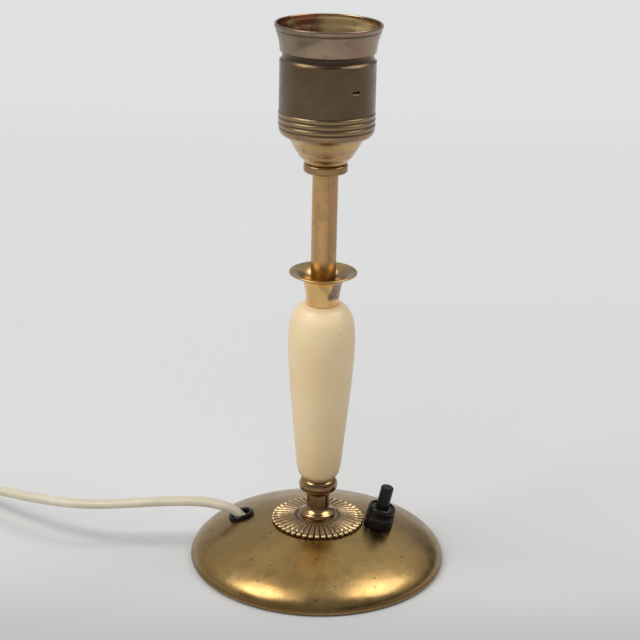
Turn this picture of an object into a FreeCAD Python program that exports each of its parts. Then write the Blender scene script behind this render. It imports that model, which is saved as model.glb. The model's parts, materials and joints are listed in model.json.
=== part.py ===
import FreeCAD, Part
import math
import os

# Table lamp base with a bare E27 lampholder, a flat twin flex and a push button in the foot.
# Millimetres, +Z up, origin on the table under the middle of the foot, the front faces -Y.

os.makedirs("parts", exist_ok=True)

Vector = FreeCAD.Vector
UP = Vector(0, 0, 1)

# Foot: spun brass dome, cast ballast, cover plate and felt
base_radius = 57.5
base_sheet = 1.0
base_edge_z = 0.4
base_lip_reach = 3.0
base_edge_round = 0.8
crown_z = 19.0
crown_flat_radius = 10.0
crown_curve_radius = 141.0
crown_end_radius = 24.0
flank_pull = 8.6
rim_pull = 9.0
felt_thickness = 1.2
felt_clearance = 0.2
plate_thickness = 1.0
plate_clearance = 0.25
ballast_thickness = 5.3
ballast_inner_radius = 13.0
ballast_lip_clearance = 3.0
ballast_shoulder = 6.5
ballast_rim_thickness = 3.2
pocket_clearance = 1.2

# Threaded rod and the nuts that pull the stack together
rod_radius = 4.0
rod_bore_radius = 2.75
rod_fit = 0.15
thread_fit = 0.05
rod_end = 1.5
nut_height = 3.0
nut_across_flats = 13.0
washer_radius = 9.0
washer_thickness = 1.2

# Rosette: cast ribs that end in beads at the rim
rosette_thickness = 1.4
rosette_seat_radius = 9.9
rosette_rib_start = 0.4
rosette_rib_rise = 0.35
rosette_bead_radius = 1.0
rosette_radius = 20.9
rosette_seat_clearance = 0.1
rosette_rib_count = 44
rosette_groove_depth_in = 0.45
rosette_groove_depth_out = 1.25
rosette_groove_width_share = 0.62

# Turned collar between the rosette and the wooden body
collar_height = 19.9
collar_radius = 8.65
collar_waist_wall = 0.5
collar_neck_step = 0.5
collar_fillet = 0.35

# Turned wooden body
wood_height = 81.7
wood_radius = 14.65

# Drip cup above the wood
cup_height = 14.7
cup_rim_radius = 14.75
cup_foot_radius = 7.05
cup_neck_radius = 8.1
cup_wall = 0.8
cup_floor_thickness = 2.0
cup_tube_gap = 0.7

# Upper tube and the ring under the lampholder
tube_length = 57.2
tube_radius = 5.5
tube_wall = 0.9
ring_height = 3.7
ring_radius = 9.45
ring_edge_round = 0.9

# Lampholder cap: cone, shoulder bead and neck
cap_height = 15.8
cap_wall = 0.9
cap_nut_clearance = 0.4
cap_cone_bottom_radius = 11.6
cap_cone_foot_height = 3.5
shoulder_height = 3.7
shoulder_overhang = 3.8
neck_height = 6.2
neck_wall = 0.5

# Lampholder shell: reeds, plain drum, groove and flared mouth
shell_radius = 20.2
shell_wall = 0.65
shell_height = 43.4
shell_neck_clearance = 0.15
reed_count = 3
reed_pitch = 2.35
reed_rise = 0.3
groove_height = 30.1
groove_half_width = 1.9
groove_depth = 1.15
mouth_flare = 2.3
mouth_rim_height = 2.5
mouth_rim_step = 0.25
lance_width = 3.2
lance_height = 1.7
lance_z = 14.1
lance_angle = 33.0

# Lampholder inside: porcelain insert, thread sleeve and contacts
insert_clearance = 0.15
insert_height = 29.0
insert_floor = 6.0
insert_shelf_rise = 1.8
insert_well_radius = 7.0
sleeve_bore_radius = 13.25
sleeve_wall = 0.4
sleeve_clearance = 0.1
sleeve_length = 20.4
contact_strip = 0.6
contact_width = 4.0
contact_rivet_radius = 1.5
contact_button_radius = 4.0
contact_button_height = 1.9
side_rivet_offset = 10.4
terminal_width = 5.0
terminal_depth = 6.0
terminal_height = 4.2
terminal_offset = 8.5
screw_radius = 1.4
screw_head_radius = 2.4
screw_head_height = 1.5
screw_slot_width = 0.6
screw_fit = 0.1

# Push button switch, on its own axis square to the dome
switch_azimuth = -3.0
switch_neck_radius = 4.9
switch_neck_length = 9.0
switch_housing_radius = 7.0
switch_housing_wall = 1.3
switch_dome_gap = 0.35
switch_disc_thickness = 1.6
switch_nut_height = 9.6
switch_nut_wall = 1.35
switch_skirt_step = 0.25
switch_skirt_height = 5.6
switch_nut_chamfer = 0.7
switch_notch_count = 12
switch_notch_radius = 0.5
switch_notch_height = 1.6
button_radius = 2.92
button_clearance = 0.1
button_proud = 10.0
button_edge_round = 0.9
button_flange_step = 1.68
button_flange_thickness = 1.4
button_travel = 3.0
spring_wire_radius = 0.3
spring_turns = 4
spring_gap = 0.05
spring_spare = 0.85
lug_width = 3.0
lug_depth = 2.2
lug_height = 3.6
lug_gap = 0.1

# Grommet for the flex
grommet_edge_distance = 21.4
grommet_azimuth = 166.5
grommet_hole_radius = 4.1
grommet_wall = 0.85
grommet_lip = 0.95
grommet_top_height = 1.7
grommet_bottom_height = 1.1
grommet_fit = 0.1
grommet_dome_gap = 0.35

# Flex: flat twin cable, drawn as a round tube of like section, and its single wires
flex_width = 5.6
flex_radius = 2.3
lead_radius = 0.95
lead_offset = 1.2
lead_start = 4.0
lead_bend = 3.5
clip_width = 5.0
clip_sheet = 0.8
clip_ear = 5.0
clip_fit = 0.15
clip_start = 4.0
clip_screw_radius = 1.2
clip_screw_length = 3.0
clip_screw_head_radius = 2.2
clip_screw_head_height = 1.2

# Coil of the length that is put away, its tie and the plug
coil_outer_radius = 41.3
coil_gap = 0.5
coil_inward_turns = 3.75
coil_climb_turns = 0.5
coil_outward_turns = 4.0
tie_thickness = 1.0
tie_width = 5.0
tie_gap = 0.3
plug_face_width = 35.3
plug_face_height = 13.7
plug_depth = 21.0
plug_rear_width = 15.0
plug_rear_height = 11.0
plug_corner = 4.0
relief_length = 14.0
relief_radius_in = 4.6
relief_radius_out = 3.3
relief_ring_count = 5
relief_ring_depth = 0.5
pin_spacing = 18.6
pin_radius = 2.0
pin_length = 19.0
pin_sleeve_length = 10.0
pin_sleeve_step = 0.1
pin_root = 6.0

# Points of the free flex, by hand: out of the grommet, over the rim, slowly down to the table
flex_route = [
    (-35.0, 8.4, 13.8),
    (-37.5, 8.64, 16.9),
    (-43.0, 8.0, 19.5),
    (-50.8, 8.8, 20.9),
    (-61.0, 9.4, 20.8),
    (-73.0, 9.0, 20.4),
    (-86.5, 7.8, 19.8),
    (-100.0, 7.6, 18.9),
    (-113.5, 10.6, 17.6),
    (-127.5, 17.5, 15.8),
    (-141.5, 27.3, 13.4),
    (-155.5, 39.3, 10.0),
    (-168.7, 50.3, 6.1),
    (-182.0, 57.4, 3.6),
    (-195.5, 64.0, 3.6),
]

# Points of the flex inside the foot, by hand: from the grommet to the split of its wires
inner_route = [
    (-35.0, 8.4, 13.8),
    (-32.5, 8.16, 10.7),
    (-26.5, 7.45, 9.9),
    (-13.5, 5.0, 9.9),
]

# Points of the flex after the coil, by hand: from the coil's end, left of it, to the plug
tail_route = [
    (-264.85, 30.12, 8.7),
    (-270.6, 14.6, 6.0),
    (-271.6, -1.9, 3.4),
    (-266.4, -17.6, 4.4),
    (-255.0, -28.6, 6.85),
    (-240.0, -34.6, 6.85),
]

# Outlines, as shares of a piece's largest radius and of its height
collar_foot_shares = [(0.90, 0.0), ("arc", (0.965, 0.06), (0.865, 0.12))]
collar_waist_via_share = 0.17
collar_waist_share = 0.30
collar_cone_share = 0.56
collar_head_shares = [(0.93, 0.70), ("arc", (1.0, 0.80), (0.90, 0.92)), (0.785, 1.0)]
wood_side_shares = [
    (0.55, 0.013), (0.645, 0.040), (0.688, 0.090), (0.755, 0.22), (0.880, 0.42),
    (0.960, 0.60), (1.000, 0.74), (0.985, 0.86), (0.925, 0.925), (0.80, 0.965), (0.64, 0.990),
]
wood_bottom_share = 0.457
wood_top_share = 0.52
cup_neck_share = 0.58
cup_flare_shares = [(0.17, 0.75), (0.52, 0.89)]
cup_bell_shares = [(0.50, 0.93), (0.13, 0.78)]
cup_throat_share = 0.5
mouth_curve_shares = [(0.08, 0.26), (0.42, 0.62)]
plug_waist_share = 0.45
plug_waist_width_share = 0.72
plug_waist_height_share = 0.94
ring_width_share = 0.35
run_share = 0.45

overrun = 1.0
tolerance = 1e-7

# Heights of the stack, each piece on the one below it
plate_z = felt_thickness
ballast_z = plate_z + plate_thickness
ballast_top = ballast_z + ballast_thickness
rosette_top = crown_z + rosette_thickness
collar_top = rosette_top + collar_height
wood_top = collar_top + wood_height
cup_floor_z = wood_top + cup_floor_thickness
tube_top = cup_floor_z + tube_length
ring_top = tube_top + ring_height
shoulder_top = ring_top + cap_height
neck_top = shoulder_top + neck_height
lip_radius = base_radius - base_sheet - base_lip_reach
ballast_outer_radius = lip_radius - ballast_lip_clearance
ballast_top_radius = ballast_outer_radius - ballast_shoulder
bore_radius = rod_radius + rod_fit
nut_corner_radius = nut_across_flats / math.sqrt(3)


def outline(*steps):
    """Closed wire in the XZ plane. A step is a point, ("arc", via, end) or ("spline", [points])."""
    edges = []
    place = steps[0]
    start = place
    for step in steps[1:] + (start,):
        here = Vector(place[0], 0, place[1])
        if step[0] == "arc":
            via, end = step[1], step[2]
            edges.append(Part.Arc(here, Vector(via[0], 0, via[1]), Vector(end[0], 0, end[1])).toShape())
        elif step[0] == "spline":
            end = step[1][-1]
            curve = Part.BSplineCurve()
            curve.interpolate([here] + [Vector(r, 0, z) for r, z in step[1]])
            edges.append(curve.toShape())
        elif step[0] == "bezier":
            end = step[1][-1]
            curve = Part.BezierCurve()
            curve.setPoles([here] + [Vector(r, 0, z) for r, z in step[1]])
            edges.append(curve.toShape())
        else:
            end = step
            if step == place:
                continue
            edges.append(Part.LineSegment(here, Vector(end[0], 0, end[1])).toShape())
        place = end
    return Part.Wire(edges)


def turned(*steps):
    """Solid of revolution about Z from an outline of (radius, height) steps."""
    return Part.Face(outline(*steps)).revolve(Vector(0, 0, 0), UP, 360)


def tube(outer, inner, low, high):
    """Plain ring between two heights."""
    return turned((inner, low), (outer, low), (outer, high), (inner, high))


def disc(radius, low, high):
    """Plain cylinder between two heights."""
    return Part.makeCylinder(radius, high - low, Vector(0, 0, low))


def block(low, high):
    """Box between two corners."""
    low, high = Vector(*low), Vector(*high)
    size = high - low
    return Part.makeBox(size.x, size.y, size.z, low)


def hex_nut(across_flats, hole_radius, low, height):
    """Hexagonal nut on the Z axis with chamfered top corners."""
    corner_radius = across_flats / math.sqrt(3)
    corners = []
    for i in range(7):
        turn = math.radians(60 * i)
        corners.append(Vector(corner_radius * math.cos(turn), corner_radius * math.sin(turn), low))
    body = Part.Face(Part.makePolygon(corners)).extrude(Vector(0, 0, height))
    chamfer = corner_radius - across_flats / 2
    envelope = turned(
        (0, low), (corner_radius, low), (corner_radius, low + height - chamfer / 2),
        (across_flats / 2, low + height), (0, low + height))
    return body.common(envelope).cut(disc(hole_radius, low - overrun, low + height + overrun))


def shares(steps, radius, low, height):
    """Outline steps from shares of a radius and a height, set on a base height."""
    def place(share):
        return (radius * share[0], low + height * share[1])

    result = []
    for step in steps:
        if step[0] == "arc":
            result.append(("arc", place(step[1]), place(step[2])))
        else:
            result.append(place(step))
    return result


def save(name, shape):
    """Writes one node and prints what it holds."""
    shape = shape.removeSplitter() if shape.ShapeType == "Solid" else shape
    if not shape.isValid():
        print("not valid:", name)
    print("%-18s solids %d volume %.1f" % (name, len(shape.Solids), shape.Volume))
    shape.exportStep("parts/%s.step" % name)


def save_group(name, solids):
    """Writes several separate solids as one node."""
    save(name, Part.makeCompound(solids))


# Dome curve: crown arc about the axis, then one smooth curve down to the upright rim
crown_centre_z = crown_z - math.sqrt(crown_curve_radius**2 - crown_flat_radius**2)


def crown_point(radius, offset):
    """Point of the crown arc, offset along its normal."""
    reach = crown_curve_radius + offset
    return (radius, crown_centre_z + math.sqrt(reach**2 - radius**2))


def flank_poles(offset):
    """Poles of the flank curve from the crown's end to the rim, offset along the normal."""
    slope = math.asin(crown_end_radius / crown_curve_radius)
    reach = crown_curve_radius + offset
    start = (reach * math.sin(slope), crown_centre_z + reach * math.cos(slope))
    rim = base_radius + offset
    rim_z = base_edge_z + base_edge_round
    return [
        start,
        (start[0] + flank_pull * math.cos(slope), start[1] - flank_pull * math.sin(slope)),
        (rim, rim_z + rim_pull + offset),
        (rim, rim_z),
    ]


def seat_on_dome(radius, azimuth):
    """Placement on the dome: origin on its outer face, Z along the outward normal."""
    curve = Part.BezierCurve()
    curve.setPoles([Vector(r, 0, z) for r, z in flank_poles(0)])
    low, high = 0.0, 1.0
    for _ in range(50):
        middle = (low + high) / 2
        if curve.value(middle).x < radius:
            low = middle
        else:
            high = middle
    point = curve.value(low)
    tangent = curve.tangent(low)[0]
    lean = math.degrees(math.atan2(-tangent.z, tangent.x))
    turn = FreeCAD.Rotation(UP, azimuth) * FreeCAD.Rotation(Vector(0, 1, 0), lean)
    around = math.radians(azimuth)
    place = Vector(point.x * math.cos(around), point.x * math.sin(around), point.z)
    return FreeCAD.Placement(place, turn)


def placed(shape, placement):
    """Copy of a shape with a placement multiplied in."""
    copy = shape.copy()
    copy.Placement = placement.multiply(copy.Placement)
    return copy


def bent_path(points):
    """Path of straight runs and tangent arcs through points, with the arcs' radii."""
    points = [Vector(*p) for p in points]
    edges = []
    radii = []
    place = points[0]
    for before, corner, after in zip(points, points[1:], points[2:]):
        into = (corner - before).normalize()
        out = (after - corner).normalize()
        shorter = min((corner - before).Length, (after - corner).Length)
        turn = into.getAngle(out)
        reach = run_share * shorter
        radius = reach / math.tan(turn / 2)
        radii.append(radius)
        start = corner - into * reach
        end = corner + out * reach
        inward = (out - into).normalize()
        middle = corner + inward * (radius / math.cos(turn / 2) - radius)
        edges.append(Part.LineSegment(place, start).toShape())
        edges.append(Part.Arc(start, middle, end).toShape())
        place = end
    edges.append(Part.LineSegment(place, points[-1]).toShape())
    return Part.Wire(edges), radii


def biarc_path(points, tangents):
    """Path of two tangent arcs between each pair of points."""
    edges = []
    for start, end, leave, arrive in zip(points, points[1:], tangents, tangents[1:]):
        span = end - start
        total = leave + arrive
        cross = 2 * (1 - leave.dot(arrive))
        along = span.dot(total)
        if cross < tolerance:
            reach = span.dot(span) / (2 * along)
        else:
            reach = (-along + math.sqrt(along**2 + cross * span.dot(span))) / cross
        first = start + leave * reach
        second = end - arrive * reach
        joint = (first + second) * 0.5
        edges.append(arc_from_tangent(start, leave, joint))
        edges.append(arc_from_tangent(joint, (second - first).normalize(), end))
    return edges


def arc_from_tangent(start, tangent, end):
    """Arc that leaves start along a tangent and reaches end."""
    chord = end - start
    away = chord - tangent * chord.dot(tangent)
    if away.Length < tolerance:
        return Part.LineSegment(start, end).toShape()
    side = away.normalize()
    radius = chord.dot(chord) / (2 * chord.dot(side))
    centre = start + side * radius
    middle = centre + ((start + end) * 0.5 - centre).normalize() * radius
    return Part.Arc(start, middle, end).toShape()


def round_tube(path, radius, name):
    """Round tube along a path, with its volume set against section times length."""
    start = path.OrderedEdges[0]
    direction = start.tangentAt(start.FirstParameter)
    section = Part.Wire(Part.makeCircle(radius, start.valueAt(start.FirstParameter), direction))
    shape = path.makePipeShell([section], True, False)
    share = shape.Volume / (math.pi * radius**2 * path.Length)
    print("%-18s length %.1f volume share %.4f" % (name, path.Length, share))
    return shape


# Foot

def base_shell():
    """Spun dome with a flat seat, an upright rim and holes for the rod, switch and grommet."""
    outer = flank_poles(0)
    inner = flank_poles(-base_sheet)
    under = crown_point(crown_flat_radius, -base_sheet)
    middle = (crown_flat_radius + crown_end_radius) / 2
    corner = base_edge_round * (1 - math.sqrt(0.5))
    shell = turned(
        (bore_radius, under[1]), (bore_radius, crown_z), (crown_flat_radius, crown_z),
        ("arc", crown_point(middle, 0), outer[0]),
        ("bezier", outer[1:]),
        ("arc", (base_radius - corner, base_edge_z + corner), (base_radius - base_edge_round, base_edge_z)),
        (lip_radius, base_edge_z), (lip_radius, plate_z), inner[3],
        ("bezier", [inner[2], inner[1], inner[0]]),
        ("arc", crown_point(middle, -base_sheet), under))
    through = base_sheet + overrun
    switch_hole = disc(switch_neck_radius + rod_fit, -through, overrun)
    grommet_hole = disc(grommet_hole_radius + grommet_wall + grommet_fit, -through, overrun)
    return shell.cut([placed(switch_hole, switch_place), placed(grommet_hole, grommet_place)])


def base_ballast():
    """Cast ring with a stepped rim, and a pocket that opens to the middle for the switch."""
    top = ballast_top
    ring = turned(
        (ballast_inner_radius, ballast_z), (ballast_outer_radius, ballast_z),
        (ballast_outer_radius, ballast_z + ballast_rim_thickness), (ballast_top_radius, top),
        (ballast_inner_radius, top))
    pocket = disc(lug_reach + pocket_clearance, ballast_z - overrun, top + overrun)
    under_switch = switch_place.multVec(Vector(0, 0, switch_bottom))
    pocket.translate(Vector(under_switch.x, under_switch.y, 0))
    holes = [disc(clip_screw_radius, top - clip_screw_length, top + overrun) for _ in clip_screw_spots]
    for hole, spot in zip(holes, clip_screw_spots):
        hole.translate(spot)
    return ring.cut([pocket] + holes)


def rosette():
    """Cast rosette: ring seat, shallow cone of ribs and a beaded rim, grooved between the ribs."""
    bead_centre = (rosette_radius - rosette_bead_radius,
                   crown_point(rosette_radius - rosette_bead_radius, 0)[1]
                   + rosette_seat_clearance + rosette_bead_radius)
    seat_end = crown_point(bead_centre[0], rosette_seat_clearance)
    seat_start = crown_point(crown_flat_radius, rosette_seat_clearance)
    middle = (bead_centre[0] + crown_flat_radius) / 2
    diagonal = rosette_bead_radius * math.sqrt(0.5)
    bead_top = (bead_centre[0] - diagonal, bead_centre[1] + diagonal)
    rib_start = rosette_seat_radius + rosette_rib_start
    rib_top = (rib_start, rosette_top + rosette_rib_rise)
    body = turned(
        (bore_radius, crown_z), (bore_radius, rosette_top), (rosette_seat_radius, rosette_top),
        rib_top,
        ("arc", ((rib_top[0] + bead_top[0]) / 2, (rib_top[1] + bead_top[1]) / 2 + rosette_rib_rise / 2),
         bead_top),
        ("arc", (bead_centre[0] + diagonal, bead_centre[1] + diagonal), (rosette_radius, bead_centre[1])),
        ("arc", (bead_centre[0] + diagonal, bead_centre[1] - diagonal), seat_end),
        ("arc", crown_point(middle, rosette_seat_clearance), seat_start),
        (crown_flat_radius, crown_z))

    def groove_face(radius, apex_z):
        """Triangle that opens upwards at one radius."""
        half = rosette_groove_width_share * math.pi * radius / rosette_rib_count
        top = rosette_top + rosette_rib_rise + overrun
        slant = half * (top - apex_z) / rosette_groove_depth_out
        return Part.makePolygon([
            Vector(radius, 0, apex_z), Vector(radius, slant, top),
            Vector(radius, -slant, top), Vector(radius, 0, apex_z)])

    outside = rosette_radius + overrun
    inside_face = groove_face(rib_start, rib_top[1] - rosette_groove_depth_in)
    outside_face = groove_face(outside, bead_centre[1] + rosette_bead_radius - rosette_groove_depth_out)
    groove = Part.makeLoft([inside_face, outside_face], True, True)
    grooves = []
    for i in range(rosette_rib_count):
        copy = groove.copy()
        copy.rotate(Vector(0, 0, 0), UP, 360 * (i + 0.5) / rosette_rib_count)
        grooves.append(copy)
    return body.cut(grooves)


# Stem

def stem_collar():
    """Turned brass collar: beaded foot, concave waist, cone, fillet and saucer bead."""
    waist = bore_radius + collar_waist_wall
    neck = waist + collar_neck_step

    def up(share):
        return rosette_top + collar_height * share

    foot = shares(collar_foot_shares, collar_radius, rosette_top, collar_height)
    foot_end = foot[-1][2]
    head = shares(collar_head_shares, collar_radius, rosette_top, collar_height)
    return turned(
        (bore_radius, rosette_top), *foot,
        ("arc", ((foot_end[0] + 2 * waist) / 3, up(collar_waist_via_share)),
         (waist, up(collar_waist_share))),
        (neck, up(collar_cone_share)), (neck + collar_fillet, up(collar_cone_share)),
        *head, (bore_radius, collar_top))


def wood_body():
    """Turned wooden body with rounded ends and a bore for the rod."""
    side = shares(wood_side_shares, wood_radius, collar_top, wood_height)
    return turned(
        (bore_radius, collar_top), (wood_radius * wood_bottom_share, collar_top),
        ("spline", side + [(wood_radius * wood_top_share, wood_top)]),
        (bore_radius, wood_top))


def drip_cup():
    """Thin trumpet cup with a solid floor and a rounded rim."""
    rim_z = wood_top + cup_height
    inner_neck = tube_radius + cup_tube_gap
    flare = cup_rim_radius - cup_neck_radius
    throat = cup_neck_radius - cup_wall
    outside = [(cup_neck_radius + flare * r, wood_top + cup_height * z) for r, z in cup_flare_shares]
    inside = [(throat + flare * r, wood_top + cup_height * z) for r, z in cup_bell_shares]
    edge = cup_rim_radius - cup_wall / 2
    return turned(
        (bore_radius, wood_top), (cup_foot_radius, wood_top),
        (cup_neck_radius, wood_top + cup_height * cup_neck_share),
        ("spline", outside + [(edge, rim_z - cup_wall)]),
        ("arc", (cup_rim_radius, rim_z - cup_wall / 2), (edge, rim_z)),
        ("spline", inside + [
            (inner_neck + cup_wall / 4, wood_top + cup_height * cup_throat_share),
            (inner_neck, cup_floor_z)]),
        (bore_radius, cup_floor_z))


def holder_ring():
    """Turned ring under the lampholder with rounded edges."""
    diagonal = ring_edge_round * (1 - math.sqrt(0.5))
    return turned(
        (bore_radius, tube_top), (ring_radius - ring_edge_round, tube_top),
        ("arc", (ring_radius - diagonal, tube_top + diagonal), (ring_radius, tube_top + ring_edge_round)),
        (ring_radius, ring_top - ring_edge_round),
        ("arc", (ring_radius - diagonal, ring_top - diagonal), (ring_radius - ring_edge_round, ring_top)),
        (bore_radius, ring_top))


# Lampholder

neck_outer_radius = shell_radius - shell_wall - shell_neck_clearance
neck_inner_radius = neck_outer_radius - neck_wall
insert_radius = neck_inner_radius - insert_clearance
ledge_z = shoulder_top - cap_wall / 2
cap_floor = ring_top + cap_wall
insert_top = ledge_z + insert_height
shelf_z = ledge_z + insert_floor + insert_shelf_rise
sleeve_z = shelf_z + contact_strip
terminal_screw_z = ledge_z - contact_strip - terminal_height / 2


def lampholder_cap():
    """Spun cap: rounded bottom, cone, shoulder bead and the neck inside the shell's foot."""
    foot = nut_corner_radius + cap_nut_clearance + cap_wall
    cone_low = ring_top + cap_cone_foot_height
    shoulder_low = shoulder_top - shoulder_height
    cone_top_radius = shell_radius - shoulder_overhang
    fillet = cap_wall / 2
    bead = (shell_radius - shoulder_height / 4, shoulder_low + shoulder_height / 4)
    return turned(
        (bore_radius, ring_top), (foot, ring_top),
        ("arc", ((foot + cap_cone_bottom_radius + fillet) / 2, (ring_top + cone_low - fillet) / 2),
         (cap_cone_bottom_radius, cone_low)),
        (cone_top_radius, shoulder_low - fillet), (cone_top_radius + fillet, shoulder_low),
        ("arc", bead, (shell_radius, shoulder_top - fillet)),
        (shell_radius, shoulder_top), (neck_outer_radius, shoulder_top),
        (neck_outer_radius, neck_top), (neck_inner_radius, neck_top),
        (neck_inner_radius, ledge_z), (neck_inner_radius - 2 * cap_wall, ledge_z),
        (cone_top_radius - cap_wall, shoulder_low - fillet),
        (cap_cone_bottom_radius - cap_wall, cone_low + fillet),
        (foot - cap_wall, cap_floor), (bore_radius, cap_floor))


def lampholder_shell():
    """Drawn shell: reeds at its foot, plain drum, groove, flared mouth and a lanced slot."""
    def at(radius, height):
        return (radius, shoulder_top + height)

    reeds = []
    for i in range(reed_count):
        foot = reed_pitch * i
        reeds.append(("arc", at(shell_radius + reed_rise, foot + reed_pitch / 2),
                      at(shell_radius, foot + reed_pitch)))
    groove_low = groove_height - groove_half_width
    groove_high = groove_height + groove_half_width
    wall_top = shell_height - mouth_rim_height
    mouth = shell_radius + mouth_flare
    crease = mouth - mouth_rim_step
    curve = [(shell_radius + mouth_flare * r, groove_high + (wall_top - groove_high) * z)
             for r, z in mouth_curve_shares]
    outside = [at(r, z) for r, z in curve]
    inside = [at(r - shell_wall, z) for r, z in reversed(curve)]
    inner = shell_radius - shell_wall
    shell = turned(
        at(inner, 0), at(shell_radius, 0), *reeds, at(shell_radius, groove_low),
        ("arc", at(shell_radius - groove_depth, groove_height), at(shell_radius, groove_high)),
        ("spline", outside + [at(crease - mouth_rim_step, wall_top)]),
        at(crease, wall_top + mouth_rim_step),
        ("arc", at(mouth, shell_height - shell_wall), at(mouth - shell_wall / 2, shell_height)),
        at(mouth - shell_wall, shell_height - shell_wall / 2),
        at(crease - mouth_rim_step - shell_wall, wall_top),
        ("spline", inside + [at(inner, groove_high)]),
        ("arc", at(inner - groove_depth, groove_height), at(inner, groove_low)))
    slot = block((inner - shell_wall, -lance_width / 2, shoulder_top + lance_z - lance_height / 2),
                 (shell_radius + overrun, lance_width / 2, shoulder_top + lance_z + lance_height / 2))
    slot.rotate(Vector(0, 0, 0), UP, lance_angle - 90)
    return shell.cut(slot)


def lampholder_insert():
    """Porcelain insert: cup with a shelf for the thread sleeve, a well and holes for the rivets."""
    floor_top = ledge_z + insert_floor
    bore = sleeve_bore_radius + sleeve_wall + sleeve_clearance
    body = turned(
        (0, ledge_z), (insert_radius, ledge_z), (insert_radius, insert_top), (bore, insert_top),
        (bore, shelf_z), (insert_well_radius, shelf_z), (insert_well_radius, floor_top),
        (0, floor_top))
    centre_hole = disc(contact_rivet_radius + screw_fit, ledge_z - overrun, shelf_z + overrun)
    side_hole = centre_hole.copy()
    side_hole.translate(Vector(-side_rivet_offset, 0, 0))
    return body.cut([centre_hole, side_hole])


def centre_contact():
    """Domed centre contact, its rivet and the strip to the first terminal."""
    floor_top = ledge_z + insert_floor
    top = floor_top + contact_button_height
    rise = contact_button_height - contact_strip
    dome = (contact_button_radius**2 + rise**2) / (2 * rise)
    half = math.asin(contact_button_radius / dome) / 2
    rivet = turned(
        (0, ledge_z - contact_strip), (contact_rivet_radius, ledge_z - contact_strip),
        (contact_rivet_radius, floor_top), (contact_button_radius, floor_top),
        (contact_button_radius, top - rise),
        ("arc", (dome * math.sin(half), top - dome * (1 - math.cos(half))), (0, top)))
    strip = block((-contact_width / 2, -contact_width / 2, ledge_z - contact_strip),
                  (terminal_offset - terminal_width / 2, contact_width / 2, ledge_z))
    return rivet.fuse(strip)


def side_contact():
    """Side contact: strip under the thread sleeve and its rivet down to the second terminal."""
    reach = sleeve_bore_radius + sleeve_wall / 2
    rivet = disc(contact_rivet_radius, ledge_z - contact_strip, sleeve_z)
    rivet.translate(Vector(-side_rivet_offset, 0, 0))
    upper = block((-reach, -contact_width / 2, shelf_z),
                  (contact_width / 2 - side_rivet_offset, contact_width / 2, sleeve_z))
    return rivet.fuse(upper)


def terminal_blocks():
    """Two brass blocks under the insert, drilled for their screws."""
    blocks = []
    for side, top in ((1, ledge_z), (-1, ledge_z - contact_strip)):
        middle = side * terminal_offset
        piece = block((middle - terminal_width / 2, -terminal_depth / 2, top - terminal_height),
                      (middle + terminal_width / 2, terminal_depth / 2, top))
        hole = Part.makeCylinder(
            screw_radius + screw_fit, terminal_depth / 2 + overrun,
            Vector(middle, -terminal_depth / 2 - overrun, terminal_screw_z), Vector(0, 1, 0))
        blocks.append(piece.cut(hole))
    return blocks


def terminal_screws():
    """Cheese head screws in the front of the terminal blocks."""
    screws = []
    for side in (1, -1):
        face = Vector(side * terminal_offset, -terminal_depth / 2, terminal_screw_z)
        shank = Part.makeCylinder(screw_radius, terminal_depth / 2 - screw_fit, face, Vector(0, 1, 0))
        head = Part.makeCylinder(screw_head_radius, screw_head_height, face, Vector(0, -1, 0))
        slot = block((face.x - screw_head_radius, face.y - screw_head_height - overrun,
                      face.z - screw_slot_width / 2),
                     (face.x + screw_head_radius, face.y - screw_head_height / 2,
                      face.z + screw_slot_width / 2))
        screws.append(shank.fuse(head).cut(slot))
    return screws


# Switch, in its own frame: height 0 on the dome's outer face

switch_nut_hole = switch_neck_radius + screw_fit
switch_nut_radius = switch_nut_hole + switch_nut_wall
switch_skirt_radius = switch_nut_radius + switch_skirt_step
switch_top = -base_sheet - switch_dome_gap
spring_solid = 2 * spring_wire_radius * (spring_turns + 1)
switch_bottom = (switch_top - switch_housing_wall - spring_gap - button_flange_thickness - button_travel
                 - spring_solid - spring_spare - switch_disc_thickness)
cavity_top = switch_top - switch_housing_wall
cavity_bottom = switch_bottom + switch_disc_thickness
cavity_radius = switch_housing_radius - switch_housing_wall
button_bore_radius = button_radius + button_clearance
button_flange_radius = button_radius + button_flange_step
flange_top = cavity_top - spring_gap
flange_bottom = flange_top - button_flange_thickness
lug_z = (cavity_top + switch_bottom) / 2
lug_reach = switch_housing_radius + lug_gap + lug_depth


def switch_housing():
    """Moulded housing with the neck that comes up through the dome."""
    return turned(
        (button_bore_radius, switch_neck_length), (switch_neck_radius, switch_neck_length),
        (switch_neck_radius, switch_top), (switch_housing_radius, switch_top),
        (switch_housing_radius, switch_bottom), (cavity_radius, switch_bottom),
        (cavity_radius, cavity_top), (button_bore_radius, cavity_top))


def switch_disc():
    """Moulded disc that closes the housing from below."""
    return disc(cavity_radius - screw_fit, switch_bottom, cavity_bottom)


def switch_nut():
    """Moulded nut: plain upper ring, slightly wider skirt, chamfered top and a notched foot."""
    chamfer = switch_nut_chamfer
    body = turned(
        (switch_nut_hole, 0), (switch_skirt_radius - chamfer / 2, 0), (switch_skirt_radius, chamfer / 2),
        (switch_skirt_radius, switch_skirt_height - switch_skirt_step),
        (switch_nut_radius, switch_skirt_height), (switch_nut_radius, switch_nut_height - chamfer),
        (switch_nut_radius - chamfer, switch_nut_height), (switch_nut_hole, switch_nut_height))
    notches = []
    for i in range(switch_notch_count):
        turn = 2 * math.pi * (i + 0.5) / switch_notch_count
        notches.append(Part.makeCylinder(
            switch_notch_radius, switch_notch_height + overrun,
            Vector(switch_skirt_radius * math.cos(turn), switch_skirt_radius * math.sin(turn), -overrun)))
    return body.cut(notches)


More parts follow.
